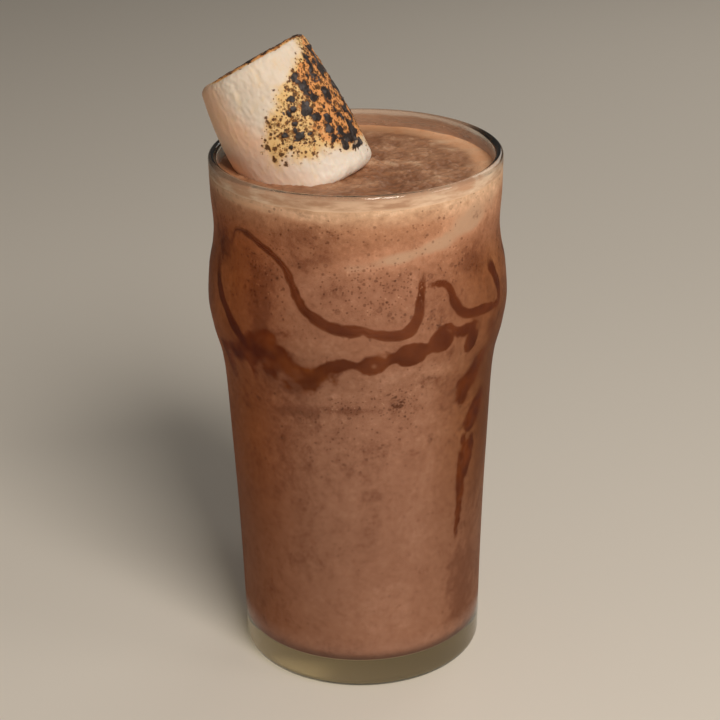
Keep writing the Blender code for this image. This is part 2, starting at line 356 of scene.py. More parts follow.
glass = {
    "height": 152 * mm,
    "wall": 2.25 * mm,
    "footCorner": 3.5 * mm,
    "floor": 7.8 * mm,
    "floorCorner": 5 * mm,
    "columns": 192,
    "rows": 150,
    "swell": 0.02 * mm,      # how uneven the outside of the pressed glass is
    "swellSize": 13 * mm,
    "evenRows": 5,           # rows just under the lip that don't swell
    "ior": 1.5,
    "mirror": 0.14,          # how much of its reflections the wall beside the drink keeps
    "absorption": 24.0,      # how strongly the thick foot is tinted
    "clear": (0.985, 0.975, 0.955),
    "frothyLip": (0.92, 0.77, 0.66),
    "paintedDarkLip": (0.06, 0.065, 0.045),
    "seenThrough": (0.975, 0.985, 0.965),
    "litThrough": (0.96, 0.97, 0.955),
    "olive": (0.62, 0.56, 0.27),
    "froth": (0.60, 0.40, 0.28),
    # height and outer radius in mm: foot, taper, shoulder, widest part of the bulge, neck and rim
    "outline": (
        (3.5, 34.9), (20, 35.2), (45, 36.0), (70, 37.2), (88, 38.2), (95, 39.1), (103, 41.1), (111, 42.2),
        (120, 41.6), (127, 40.3), (132, 39.9), (142, 40.5), (152, 40.7),
    ),
}


def outerRadius(height):
    # A curve through the outline, level only where the outline turns, so that the taper has no ripples.
    z, r = np.array(glass["outline"]).T * mm
    step = np.diff(z)
    slope = np.diff(r) / step
    before, after = slope[:-1], slope[1:]
    same = before * after > 0
    inner = np.where(same, 2 * before * after / np.where(same, before + after, 1), 0)
    tangent = np.concatenate([slope[:1], inner, slope[-1:]])
    at = np.clip(np.searchsorted(z, height) - 1, 0, len(step) - 1)
    t = np.clip((height - z[at]) / step[at], 0, 1)
    rise = r[at] * (2 * t**3 - 3 * t**2 + 1) + r[at + 1] * (3 * t**2 - 2 * t**3)
    return rise + step[at] * (tangent[at] * (t**3 - 2 * t**2 + t) + tangent[at + 1] * (t**3 - t**2))


def innerRadius(height):
    return outerRadius(height) - glass["wall"]


def clearGlass():
    finish = Finish("clear_glass")
    x, y, z = (finish.along(axis) for axis in "XYZ")
    # The lip darkens to either side, painted darkness standing in for dark surroundings seen through it at a
    # slant, and froth tints it at the back.
    aside = finish.ease(x.size(), 30 * mm, 36.5 * mm)
    lip = aside * finish.ease(y, -18 * mm, -8 * mm) * finish.ease(y, 23 * mm, 11 * mm)
    lip = lip * finish.ease(z, 145.5 * mm, 148.5 * mm)
    frothy = finish.ease(y, 2 * mm, 20 * mm) * finish.ease(z, 146 * mm, 149 * mm)
    tone = finish.layered(glass["clear"], (frothy * 0.8, glass["frothyLip"]), (lip * 0.93, glass["paintedDarkLip"]))
    material = finish.wear(colour=tone, rough=0.0, through=1.0, ior=glass["ior"])
    body = Wire(finish.tree, finish.shader.outputs[0])
    # Beside the drink the wall mirrors less than its rim and foot do.
    beside = finish.ease(z, 10 * mm, 18 * mm) * finish.ease(z, 151.6 * mm, 149.8 * mm)
    dull = finish.node("BsdfRefraction", {}, {
        "Color": glass["seenThrough"], "Roughness": 0.0, "IOR": glass["ior"],
    })
    body = finish.mixed(beside * (1 - glass["mirror"]), body, dull)
    # A trace of froth clings to the lip at the back.
    cling = (1 - aside) * finish.ease(y, 2 * mm, 14 * mm) * finish.ease(z, 148.4 * mm, 150.0 * mm) * 0.36
    body = finish.mixed(cling, body, finish.node("BsdfDiffuse", {}, {"Color": glass["froth"]}))
    # Lamps and light from the drink pass straight through it.
    shadow, diffuse = (finish.node("LightPath", {}, {}, ray) for ray in ("Is Shadow Ray", "Is Diffuse Ray"))
    straight = finish.node("BsdfTransparent", {}, {"Color": glass["litThrough"]})
    # A faint olive that only shows where the glass is thick.
    olive = finish.node("VolumeAbsorption", {}, {"Color": glass["olive"], "Density": glass["absorption"]})
    finish.ends(Surface=finish.mixed(shadow.most(diffuse), body, straight), Volume=olive)
    return material


def makeGlass():
    # One closed profile carried round: the underside, the foot's corner, the outside wall, the rounded lip,
    # the inside wall, the floor's corner and the floor.
    corner, lip, floor, bend = glass["footCorner"], glass["wall"] / 2, glass["floor"], glass["floorCorner"]
    foot = outerRadius(corner) - corner
    under = level(nearAxis, foot - 1 * mm, 0.0, 8)
    footBend = arc((foot, corner), corner, -90, 0, 10)
    heights = np.linspace(corner, glass["height"] - lip, glass["rows"])
    outside = onGrid(outerRadius(heights), heights)[1:-1]
    rim = arc((outerRadius(glass["height"]) - lip, glass["height"] - lip), lip, 0, 180, 12)
    inward = heights[heights > floor + bend][::-1]
    inside = onGrid(innerRadius(inward), inward)[1:]
    floorBend = arc((innerRadius(floor + bend) - bend, floor + bend), bend, 0, -90, 10)
    bottom = level(floorBend[-1, 0] - 1 * mm, nearAxis, floor, 8)
    outline = np.vstack([under, footBend, outside, rim, inside, floorBend, bottom])
    rings = carriedRound(outline, glass["columns"])
    # The outside swells a little, as pressed glass does, and nowhere stands proud of its outline.
    swell = glass["swell"] * (softNoise(rings, glass["swellSize"], 5) - 1) / 2
    swell[len(under) + len(footBend) + len(outside) - glass["evenRows"]:] = 0
    swell *= eased(rings[..., 2], 1 * mm, 8 * mm) * eased(rings[..., 2], 150 * mm, 145 * mm)
    rings[..., :2] *= (1 + swell / np.maximum(np.hypot(rings[..., 0], rings[..., 1]), 1 * mm))[..., None]
    finished(gridPiece("clear_glass", rings), clearGlass(), "clear_glass", "glass")


sauce = {
    "station": 0.4 * mm,     # spacing along a strand
    "corners": 16,           # points of the ring at each station
    "depth": 1.1 * mm,       # how far it reaches into the drink
    "skin": 0.09 * mm,       # how far it reaches into the glass, so that no gap shows
    "seat": 0.02 * mm,       # how far its edges lie in the drink
    "feather": 0.65 * mm,    # how much of each side lies so thin on the drink that it is only painted
    "runFeather": 2.6,       # how much more of it on the runs
    "leastHalf": 0.25,       # share of its width that a strand keeps all the same
    "ragged": 0.11,          # how uneven its edges are
    "raggedSize": 2.2 * mm,
    "wobble": 0.15 * mm,     # how uneven they are in the finer parts
    "wobbleSize": 1.3 * mm,
    # angle in degrees to the right of the front, height and width in mm
    "garland": (
        (-65.2, 133.7, 1.4), (-60.7, 132.2, 1.3), (-58.4, 134.6, 1.5), (-56.3, 136.8, 1.7),
        (-52.8, 137.7, 1.9), (-46.9, 137.1, 2.2), (-39.9, 134.9, 2.2), (-34.2, 132.6, 2.1),
        (-29.5, 129.8, 2.2), (-26.9, 126.5, 2.0), (-24.7, 123.5, 2.5), (-21.2, 119.9, 3.0),
        (-16.8, 117.7, 3.2), (-12.1, 115.8, 3.3), (-6.5, 114.7, 3.5), (-0.6, 114.5, 3.0), (2.0, 114.9, 2.2),
        (4.5, 113.8, 2.8), (8.6, 113.1, 3.1), (13.2, 112.7, 3.0), (18.0, 112.9, 3.3), (20.7, 114.2, 3.5),
        (23.0, 116.6, 3.2), (24.3, 119.8, 2.8), (24.9, 122.6, 2.3), (26.0, 125.7, 2.0), (27.0, 128.6, 1.4),
    ),
    "rightSwag": (
        (28.0, 125.0, 1.6), (32.5, 124.8, 1.8), (36.2, 124.2, 2.0), (38.4, 122.1, 2.3), (39.7, 119.1, 3.2),
        (42.4, 116.0, 3.4), (46.9, 114.2, 2.8), (52.7, 113.6, 3.0), (57.5, 113.2, 3.2), (62.5, 112.6, 2.5),
        (67.3, 112.2, 2.3), (69.8, 113.4, 2.4), (69.9, 116.0, 3.1), (68.6, 118.6, 3.6), (67.0, 121.2, 3.8),
        (65.2, 123.6, 3.6), (65.0, 125.6, 3.0),
    ),
    "leftSwag": (
        (-72.3, 126.4, 2.4), (-71.0, 124.2, 3.0), (-68.1, 119.9, 3.0), (-64.8, 116.3, 3.2),
        (-59.5, 112.7, 3.2), (-55.3, 109.8, 3.4), (-51.1, 107.6, 3.6), (-47.5, 106.2, 3.2),
    ),
    "band": (
        (-66, 99.6, 2.4), (-60, 101.0, 3.2), (-54, 102.4, 3.6), (-48, 103.6, 3.8), (-42, 105.4, 5.0),
        (-37, 106.3, 6.6), (-33, 105.8, 6.6), (-30.5, 104.2, 5.2), (-28.2, 102.4, 4.4), (-25.5, 100.8, 5.4),
        (-22.6, 100.2, 5.6), (-19.0, 100.6, 4.8), (-15.6, 101.9, 4.2), (-11.6, 103.6, 4.3),
        (-7.8, 104.4, 3.9), (-4.1, 104.9, 3.3), (-0.4, 104.5, 2.8), (5.4, 104.5, 3.2), (11.0, 105.6, 3.4),
        (15.7, 106.5, 3.6), (21.0, 106.6, 4.4), (25.5, 107.1, 3.9), (28.6, 107.7, 3.2), (31.2, 108.7, 3.6),
        (34.0, 109.4, 4.0), (36.1, 110.9, 2.6), (38.0, 111.1, 2.1), (41.5, 110.1, 3.0), (45.4, 109.8, 3.8),
        (49.6, 109.5, 4.1), (53.2, 109.3, 3.6),
    ),
    "blobs": ((5.6, 104.4, 2.9), (20.5, 106.3, 3.5), (34.1, 109.3, 3.5)),    # angle, height, radius in mm
    "drop": ((50.4, 109.4, 4.6), (49.6, 107.4, 5.4), (48.9, 105.2, 4.9), (48.2, 103.2, 3.2)),
    # the upper run, then the lower one's blob, its two prongs and its trail
    "runs": (
        ((59.6, 100.4, 1.8), (58.2, 97.6, 4.2), (55.9, 94.2, 5.6), (52.2, 91.4, 5.8), (50.2, 88.4, 5.0),
         (49.1, 86.0, 2.8)),
        ((65.6, 85.2, 2.4), (62.6, 82.8, 4.8), (59.8, 80.2, 6.6), (57.8, 78.2, 6.0), (57.0, 76.6, 4.2)),
        ((52.3, 75.6, 1.9), (52.4, 73.6, 2.7), (53.0, 71.4, 3.3), (53.8, 69.2, 3.4)),
        ((59.2, 74.3, 1.9), (59.5, 72.2, 2.8), (58.9, 70.0, 3.4), (57.4, 68.0, 3.6)),
        ((55.4, 71.4, 3.0), (55.4, 69.4, 6.8), (54.8, 66.6, 7.0), (53.6, 63.6, 5.6), (52.4, 60.6, 4.2),
         (51.9, 55.2, 3.3), (51.4, 49.8, 2.7), (50.8, 45.4, 2.0), (50.2, 42.2, 1.3)),
    ),
    # hanging loops on the far side: the angles they hang from, and heights and widths in mm
    "back": {
        "stops": (82, 124, 170, 221, 276),
        "shares": (0.22, 0.5, 0.78, 1),    # of the way from one stop to the next
        "top": 129.0,
        "drop": 15.0,
        "start": 1.5,
        "thin": 1.6,
        "thicker": 1.4,      # at the bottom of a loop
    },
    "dark": (0.105, 0.022, 0.0065),
    "reddish": (0.175, 0.044, 0.0145),
    "pooledDark": (0.110, 0.020, 0.0028),
    "pooledReddish": (0.225, 0.056, 0.0098),
    "worn": (0.28, 0.092, 0.040),
    "faint": (0.27, 0.105, 0.053),
    "dots": (0.46, 0.24, 0.14),
    "bubble": (0.30, 0.125, 0.066),
    "riserAt": (0.0182, -0.0352, 0.1245),     # where the garland climbs again and froth dots it
    "bubbleAt": (0.0041, -0.0396, 0.1041),    # in the middle of one blob
    "ringAt": (0.0222, -0.0330, 0.1090),      # round another blob
}

sideShadeTints = {
    # painted shade: what the colours are multiplied by towards the sides of the glass
    "left": (1.04, 0.65, 0.32),
    "right": (0.76, 0.60, 0.37),
    "rightLow": (0.66, 0.48, 0.22),
}


def strandRoute(rows):
    # The rows joined by a smooth curve, read at even steps along the wall: angle, height, width and run.
    fine = smoothRows(rows, np.linspace(0, len(rows) - 1, 40 * len(rows)))
    angle, height, width = np.radians(fine[:, 0]), fine[:, 1] * mm, fine[:, 2] * mm
    across = innerRadius(height) * angle
    run = np.concatenate([[0], np.cumsum(np.hypot(np.diff(across), np.diff(height)))])
    places = np.linspace(0, run[-1], max(8, round(run[-1] / sauce["station"])) + 1)
    return [np.interp(places, run, values) for values in (angle, height, width)] + [places]


def backRows():
    # Hanging loops round the far side: each sinks as a sine between its two stops, and thickens as it sinks.
    back = sauce["back"]
    rows = [(back["stops"][0], back["top"], back["start"])]
    for start, end in zip(back["stops"], back["stops"][1:]):
        for share in back["shares"]:
            hang = math.sin(math.pi * share) ** 0.8
            width = back["thin"] + back["thicker"] * hang
            rows.append((start + share * (end - start), back["top"] - back["drop"] * hang, width))
    return rows


def sauceStrands():
    # For each strand its rows, the part it stands for, the seed of its unevenness, how much of it thins out
    # until the drink shows through (at its start, at its end, and all along it), and its blobs.
    upper, blob, leftProng, rightProng, trail = sauce["runs"]
    return {
        "garland_front": (sauce["garland"], "sauce_garland", 11, (0.30, 0.04, 0.05)),
        "garland_right": (sauce["rightSwag"], "sauce_garland", 12, (0.05, 0.05, 0.0)),
        "garland_left": (sauce["leftSwag"], "sauce_band", 13, (0.4, 0.0, 0.0)),
        "band_front": (sauce["band"], "sauce_band", 14, (0.06, 0.03, 0.0), *sauce["blobs"]),
        "band_drop": (sauce["drop"], "sauce_band", 15, (0.0, 0.1, 0.0)),
        "run_upper": (upper, "sauce_run_1", 16, (0.08, 0.10, 0.0)),
        "run_blob": (blob, "sauce_run_2", 17, (0.06, 0.0, 0.0)),
        "run_left": (leftProng, "sauce_run_2", 19, (0.2, 0.0, 0.0)),
        "run_right": (rightProng, "sauce_run_2", 20, (0.2, 0.0, 0.0)),
        "run_trail": (trail, "sauce_run_2", 21, (0.0, 0.10, 0.0)),
        "garland_back": (backRows(), "sauce_back", 18, (0.05, 0.05, 0.0)),
    }


def strandHalves(rows, seed, blobs):
    # Half the width at each station: the row's own, widened to a circle at each blob, made uneven by noise
    # that changes every millimetre or two, and rounded off at both ends.
    angle, height, width, run = strandRoute(rows)
    half = width / 2
    for blobAngle, blobHeight, blobRadius in blobs:
        away = np.hypot((angle - math.radians(blobAngle)) * innerRadius(height), height - blobHeight * mm)
        half = np.maximum(half, np.sqrt(np.maximum((blobRadius * mm) ** 2 - away**2, 0)))
    half = half * (1 + sauce["ragged"] * layeredNoise(onGrid(run, 0.0, 0.0), sauce["raggedSize"], seed, 2))
    toEnd = np.minimum(run, run[-1] - run)
    rounding = np.clip(toEnd / np.maximum(half[[0, -1]].mean(), 1e-6), 0, 1)
    return angle, height, half * np.sqrt(np.maximum(1 - (1 - rounding) ** 2, 0.003)), run


def strandFaint(shares, run):
    # 1 where a strand has thinned out altogether, at its ends, easing to its own least value between.
    start, end, always = shares
    share = run / run[-1]
    thin = np.maximum(eased(share, start + 0.001, 0), eased(share, 0.999 - end, 1))
    return always + (1 - always) * thin


def makeStrand(name, material, rows, node, seed, shares, *blobs):
    # A flat strand: at each station a closed ring of points, spread across the run by the cosine of the turn.
    # The outer half of the ring bulges into the glass by the skin and the inner half into the drink by the
    # depth, less so where the strand is narrow.
    angle, height, half, run = strandHalves(rows, seed, blobs)
    feather = sauce["feather"] * (sauce["runFeather"] if name.startswith("run") else 1)
    half = np.maximum(half - feather, sauce["leastHalf"] * half)
    radius = innerRadius(height)
    ahead = onGrid(np.gradient(angle * radius), np.gradient(height))
    ahead /= np.linalg.norm(ahead, axis=1)[:, None]
    turn = np.linspace(0, math.tau, sauce["corners"], endpoint=False)[None]
    wobble = softNoise(onGrid(run[:, None], np.cos(turn) * 2 * mm, 0.0), sauce["wobbleSize"], seed + 3)
    across = half[:, None] * np.cos(turn) + sauce["wobble"] * wobble * np.abs(np.cos(turn))
    plump = np.minimum(half / half.max() * 1.4, 1)[:, None]
    bulge = np.abs(np.sin(turn)) ** 0.8
    outward, inward = (sauce["skin"] + sauce["seat"]) * bulge, -sauce["depth"] * plump * bulge
    a = angle[:, None] - across * ahead[:, 1:] / radius[:, None]
    z = height[:, None] + across * ahead[:, :1]
    r = innerRadius(z) - sauce["seat"] + np.where(np.sin(turn) >= 0, outward, inward)
    piece = gridPiece(name, roundAxis(r, a, z))
    keepValue(piece, "faint", strandFaint(shares, run)[:, None] + 0 * turn)
    keepValue(piece, "smear", smearAt(a, z))
    finished(piece, material, "chocolate_sauce", node)


def paintedSideShade(finish, colour):
    # Painted shade: darker and browner towards either side of the glass, less so low down, and not along the
    # top.
    x, y, z = (finish.along(axis) for axis in "XYZ")
    right = finish.ease(x, -10 * mm, 10 * mm)
    side = finish.ease(x * x / (x * x + y * y) * (1.26 - 0.26 * right), 0.0, 0.9)
    tall = finish.ease(z, 30 * mm, 78 * mm)
    side = side * ((0.55 + 0.45 * tall) * (1 - right) + (0.28 + 0.72 * tall) * right)
    side = side * finish.ease(z + right * (9 * mm), 147 * mm, 133 * mm)
    onRight = finish.blend(finish.ease(z, 108 * mm, 92 * mm), sideShadeTints["right"], sideShadeTints["rightLow"])
    return finish.blend(side, colour, finish.blend(right, sideShadeTints["left"], onRight), "MULTIPLY")


def sauceTone(finish, pooled):
    # Cloudy streaks from dark to reddish, and darker throughout where a lot of it has run together.
    light = finish.ease(finish.noise(2.6 * mm, 3), 0.3, 0.75)
    worn = finish.ease(finish.noise(3.6 * mm, 5, 0.7), 0.50, 0.68)
    plain = finish.blend(light, sauce["dark"], sauce["reddish"])
    deep = finish.layered(sauce["pooledDark"], (light, sauce["pooledReddish"]), (worn * 0.38, sauce["worn"]))
    return finish.blend(finish.ease(pooled, 0.2, 0.9), plain, deep)


def chocolateSauce():
    finish = Finish("chocolate_sauce")
    faint = finish.ease(finish.value("faint") + (finish.noise(2.6 * mm, 3) - 0.5) * 0.8, 0.0, 1.1)
    # Froth bubbles caught against the glass: pale dots where the garland climbs.
    riser = finish.ease(finish.away(sauce["riserAt"]), 7.5 * mm, 3.5 * mm)
    dots = finish.ease(finish.cells(0.62 * mm), 0.34, 0.2) * riser
    # A bubble of froth in the middle of one blob, and a thin pale ring round another.
    spot = finish.ease(finish.away(sauce["bubbleAt"]), 1.25 * mm, 0.5 * mm)
    away = finish.away(sauce["ringAt"])
    ring = finish.ease(away, 2.75 * mm, 3.0 * mm) * finish.ease(away, 3.35 * mm, 3.1 * mm)
    ring = ring * finish.ease(finish.along("X"), 22.6 * mm, 24.2 * mm)
    colour = finish.layered(
        sauceTone(finish, finish.value("smear")),
        (faint * 0.8, sauce["faint"]),
        (dots * 0.7, sauce["dots"]),
        (spot.most(ring * 0.5) * 0.8, sauce["bubble"]),
    )
    # With painted shade towards the sides.
    return finish.wear(colour=paintedSideShade(finish, colour), rough=0.55, specular=0.12)


def makeSauce():
    material = chocolateSauce()
    for name, strand in sauceStrands().items():
        makeStrand(name, material, *strand)


drink = {
    "level": 147.0 * mm,
    "join": 146.0 * mm,      # where the froth on top meets the body of the drink
    "skin": 0.05 * mm,       # how far it reaches into the glass
    "columns": 440,
    "rows": 196,
    "leastPale": -0.6,
    "mostPale": 0.6,
    # bubbles in the froth against the glass: angle, height, spread in degrees and mm, strength
    "bubbles": (
        (5, 126, 12, 6.0, 1.0), (15, 128, 6, 3.0, 0.9), (22, 120, 7, 6.0, 0.5), (-5, 127, 6, 2.0, 0.7),
        (-20, 136, 16, 4, 0.2), (-42, 124, 11, 8, 0.5), (-12, 142, 6, 2, 0.5), (0, 141, 30, 3, 0.14),
        (16.5, 91.5, 3.0, 2.2, 1.7), (16, 93, 10, 4.0, 0.6), (-4, 91, 8, 2.6, 0.9), (-22, 87, 6, 2.4, 0.9),
        (42, 129, 8, 5.0, 0.65), (30, 98, 10, 3.5, 0.5), (31.7, 113.2, 2.6, 2.0, 1.6),
        (0, 80, 24, 12, 0.25), (30, 141, 10, 2.5, 0.3), (150, 122, 30, 8, 0.8), (230, 95, 25, 8, 0.6),
    ),
    # see-through smears of sauce, in the same terms
    "smears": (
        (-35, 106.2, 7.0, 5.0, 1.3), (-45.5, 108.3, 5.0, 2.3, 1.0), (-37.5, 110.2, 4.4, 2.2, 0.8),
        (-51.5, 106.8, 3.0, 2.0, 0.8), (-66, 100.0, 5.0, 3.8, 1.0), (-58, 101.4, 6.0, 3.4, 1.0),
        (-50, 103.2, 6.0, 3.0, 1.0), (-44, 103.8, 5.0, 3.2, 0.9), (-68, 95.5, 4.0, 4.0, 0.7),
        (-47.5, 98.0, 2.6, 3.0, 0.75), (-40, 98.6, 2.0, 3.0, 0.7), (-36.3, 98.6, 1.6, 2.8, 0.7),
        (-23, 100.0, 8.0, 3.8, 1.3), (-19, 98.0, 3.4, 2.4, 0.8), (-29, 103.4, 3.2, 2.6, 0.8),
        (-13, 102.6, 5.0, 2.6, 0.8), (-9.5, 99.4, 1.8, 2.0, 0.7), (-31, 96.2, 3.0, 2.0, 0.55),
        (-25, 95.2, 5.0, 1.8, 0.4), (-3, 104.4, 7, 2.2, 0.4), (9, 107.2, 5, 2.0, 0.6),
        (27, 97.3, 4, 1.8, 0.42), (34, 96.8, 4, 1.8, 0.45), (59, 98.5, 5.0, 3.6, 0.95),
        (56, 94.4, 6.5, 3.4, 1.15), (51.5, 91, 6.5, 3.2, 1.15), (50, 87.6, 4.6, 2.8, 1.0),
        (60, 106, 4, 4, 0.45), (64, 84, 5.0, 3.0, 1.0), (60, 81.2, 6.6, 3.2, 1.2),
        (57, 78.6, 5.6, 1.8, 1.1), (55, 71.4, 5.6, 2.0, 1.05), (54.3, 67.8, 6.0, 3.2, 1.1),
        (52.6, 63.6, 4.2, 4, 0.95), (52, 58, 3.4, 4, 0.85), (51.5, 52, 2.6, 4, 0.65),
        (50.8, 45, 1.8, 4, 0.45), (66, 109, 4, 5, 0.5), (45, 108.0, 7, 2.6, 0.5), (39, 104, 3, 2.2, 0.3),
        (-68, 131, 3.5, 4, 0.6), (120, 108, 30, 4, 0.6), (190, 104, 26, 4, 0.55), (250, 107, 22, 4, 0.6),
    ),
    # paler froth, and darker where the strength is below zero: dark blotches, and painted shade towards the
    # sides, in the same terms
    "pale": (
        (50, 138.5, 12, 2.8, 0.42), (32, 135.6, 11, 2.6, 0.60), (16, 133.6, 11, 2.4, 0.60),
        (0, 131.4, 10, 2.4, 0.40), (-14, 129.0, 8, 2.8, 0.20), (64, 143, 18, 5.0, 0.42),
        (-36, 139.8, 13, 3.0, -0.12), (-22, 141.6, 9, 2.2, -0.24), (46, 141, 14, 4.0, 0.34),
        (69, 122, 6, 8, 0.48), (52, 20, 10, 16, -0.16), (-30, 84, 13, 34, -0.11), (-38, 112, 8, 4, -0.14),
        (-67, 116, 6, 10, 0.24), (-12, 109, 16, 2.4, 0.22), (15, 100.4, 14, 2.6, 0.30),
        (36, 99.5, 8, 3.0, 0.24), (4, 96.5, 12, 2.4, 0.18), (28, 60, 12, 28, 0.14), (12, 24, 20, 10, 0.16),
        (-40, 122, 8, 9, -0.40), (-61, 118, 9, 10, 0.20), (74, 88, 16, 38, -0.42), (66, 24, 15, 22, -0.26),
        (-51, 99.0, 2.2, 2.6, 0.30), (-68, 132, 7, 6, -0.35), (53, 129, 8, 6, -0.30),
        (-22, 131.8, 4.5, 2.6, -0.34), (-13, 134.4, 3.6, 2.2, -0.28), (-10, 125, 5, 3.6, -0.26),
        (2, 139.6, 20, 2.2, -0.16), (34, 140.6, 9, 2.0, -0.14), (-48, 62, 18, 34, -0.06),
        (42, 86, 6, 8, -0.12), (-3, 89.7, 9, 1.2, -0.48), (-21, 88.3, 8, 1.6, -0.46), (38, 93, 6, 4, -0.18),
        (-48, 145.9, 26, 1.3, 0.60), (-18, 145.2, 10, 1.2, 0.35),
    ),
    "mostBubbles": 1.4,
    "fewBubbles": 0.07,      # how much of them there is everywhere
    "mostSmear": 1.2,
    # colour by the share of the way up from the corner at the bottom
    "rise": (
        (0.0, (0.345, 0.158, 0.100)), (0.30, (0.325, 0.149, 0.096)), (0.60, (0.355, 0.162, 0.104)),
        (0.72, (0.335, 0.145, 0.087)), (0.84, (0.350, 0.152, 0.093)), (0.92, (0.43, 0.182, 0.103)),
        (0.965, (0.51, 0.237, 0.137)), (1.0, (0.735, 0.445, 0.29)),
    ),
    "riseFrom": 8 * mm,
    "riseBy": 139 * mm,
    "leftHigher": 2.2 * mm,    # how much higher the pale froth starts at the left
    # bubbles in three sizes: cell, radius as a share of it, how many there are and how dark they are
    "spots": ((2.7 * mm, 0.34, 0.40, 0.45), (1.5 * mm, 0.30, 0.65, 0.95), (0.8 * mm, 0.34, 0.8, 0.95)),
    # what shade, froth, grain, bubbles and the painted shade in the bottom's corner multiply the colour by
    "shaded": (0.60, 0.50, 0.45),
    "frothed": (1.32, 1.46, 1.58),
    "paleGrain": (1.35, 1.40, 1.45),
    "darkGrain": (0.68, 0.62, 0.58),
    "frothedLeft": (1.34, 1.26, 1.18),
    "spotted": (0.38, 0.29, 0.25),
    "cornerShade": (0.42, 0.34, 0.30),
    # plain colours
    "froth": (0.58, 0.36, 0.25),
    "spark": (0.80, 0.50, 0.34),
    "granule": (0.115, 0.038, 0.020),
    "thinSauce": (0.23, 0.075, 0.031),
    "under": (0.62, 0.50, 0.34),
    "paintedGlowLeft": (0.158, 0.124, 0.084),
    "paintedGlowRight": (0.076, 0.060, 0.042),
}


def bumpsAt(places, angle, height):
    # The sum of soft round hills at the given places on the wall: strength times e to the minus the squared
    # distance, measured in the hill's own spreads.
    total = np.zeros_like(angle)
    for spotAngle, spotHeight, spreadAngle, spreadHeight, strength in places:
        aside = ((np.degrees(angle) - spotAngle + 180) % 360 - 180) / spreadAngle
        total += strength * np.exp(-aside**2 - ((height / mm - spotHeight) / spreadHeight) ** 2)
    return total


def smearAt(angle, height):
    return np.clip(bumpsAt(drink["smears"], angle, height), 0, drink["mostSmear"])


def sauceNearness(angle, height):
    # How deep inside the nearest strand each point of the wall lies, in mm and negative outside, and how
    # faint that strand is there.
    margin = 9 * mm
    deepest, faint = np.full(angle.shape, -margin), np.zeros(angle.shape)
    for rows, _, seed, shares, *blobs in sauceStrands().values():
        strandAngle, strandHeight, half, run = (values[::2] for values in strandHalves(rows, seed, blobs))
        close = np.flatnonzero(np.abs(height - strandHeight.mean()) < np.ptp(strandHeight) / 2 + margin)
        turn = (angle[close][:, None] - strandAngle + math.pi) % math.tau - math.pi
        across = turn * innerRadius(height[close])[:, None]
        depth = half - np.hypot(across, height[close][:, None] - strandHeight)
        station = depth.argmax(1)
        depth = depth.max(1)
        deeper = depth > deepest[close]
        deepest[close[deeper]] = depth[deeper]
        faint[close[deeper]] = strandFaint(shares, run)[station[deeper]]
    return deepest / mm, faint


def wallValues(piece, rings):
    # Bubbles, smears, paleness, and nearness and faintness of the sauce at each point of a grid.
    angle = np.arctan2(rings[..., 0], -rings[..., 1])
    height = rings[..., 2]
    loose = 0.75 + 0.5 * layeredNoise(rings, 8 * mm, 31, 2)
    bubbles = bumpsAt(drink["bubbles"], angle, height) * loose + drink["fewBubbles"]
    pale = bumpsAt(drink["pale"], angle, height)
    near, faint = sauceNearness(angle.ravel(), height.ravel())
    keepValue(piece, "bubbles", np.clip(bubbles, 0, drink["mostBubbles"]))
    keepValue(piece, "smear", smearAt(angle, height))
    keepValue(piece, "pale", np.clip(pale, drink["leastPale"], drink["mostPale"]))
    keepValue(piece, "near", near.reshape(angle.shape))
    keepValue(piece, "faint", faint.reshape(angle.shape))


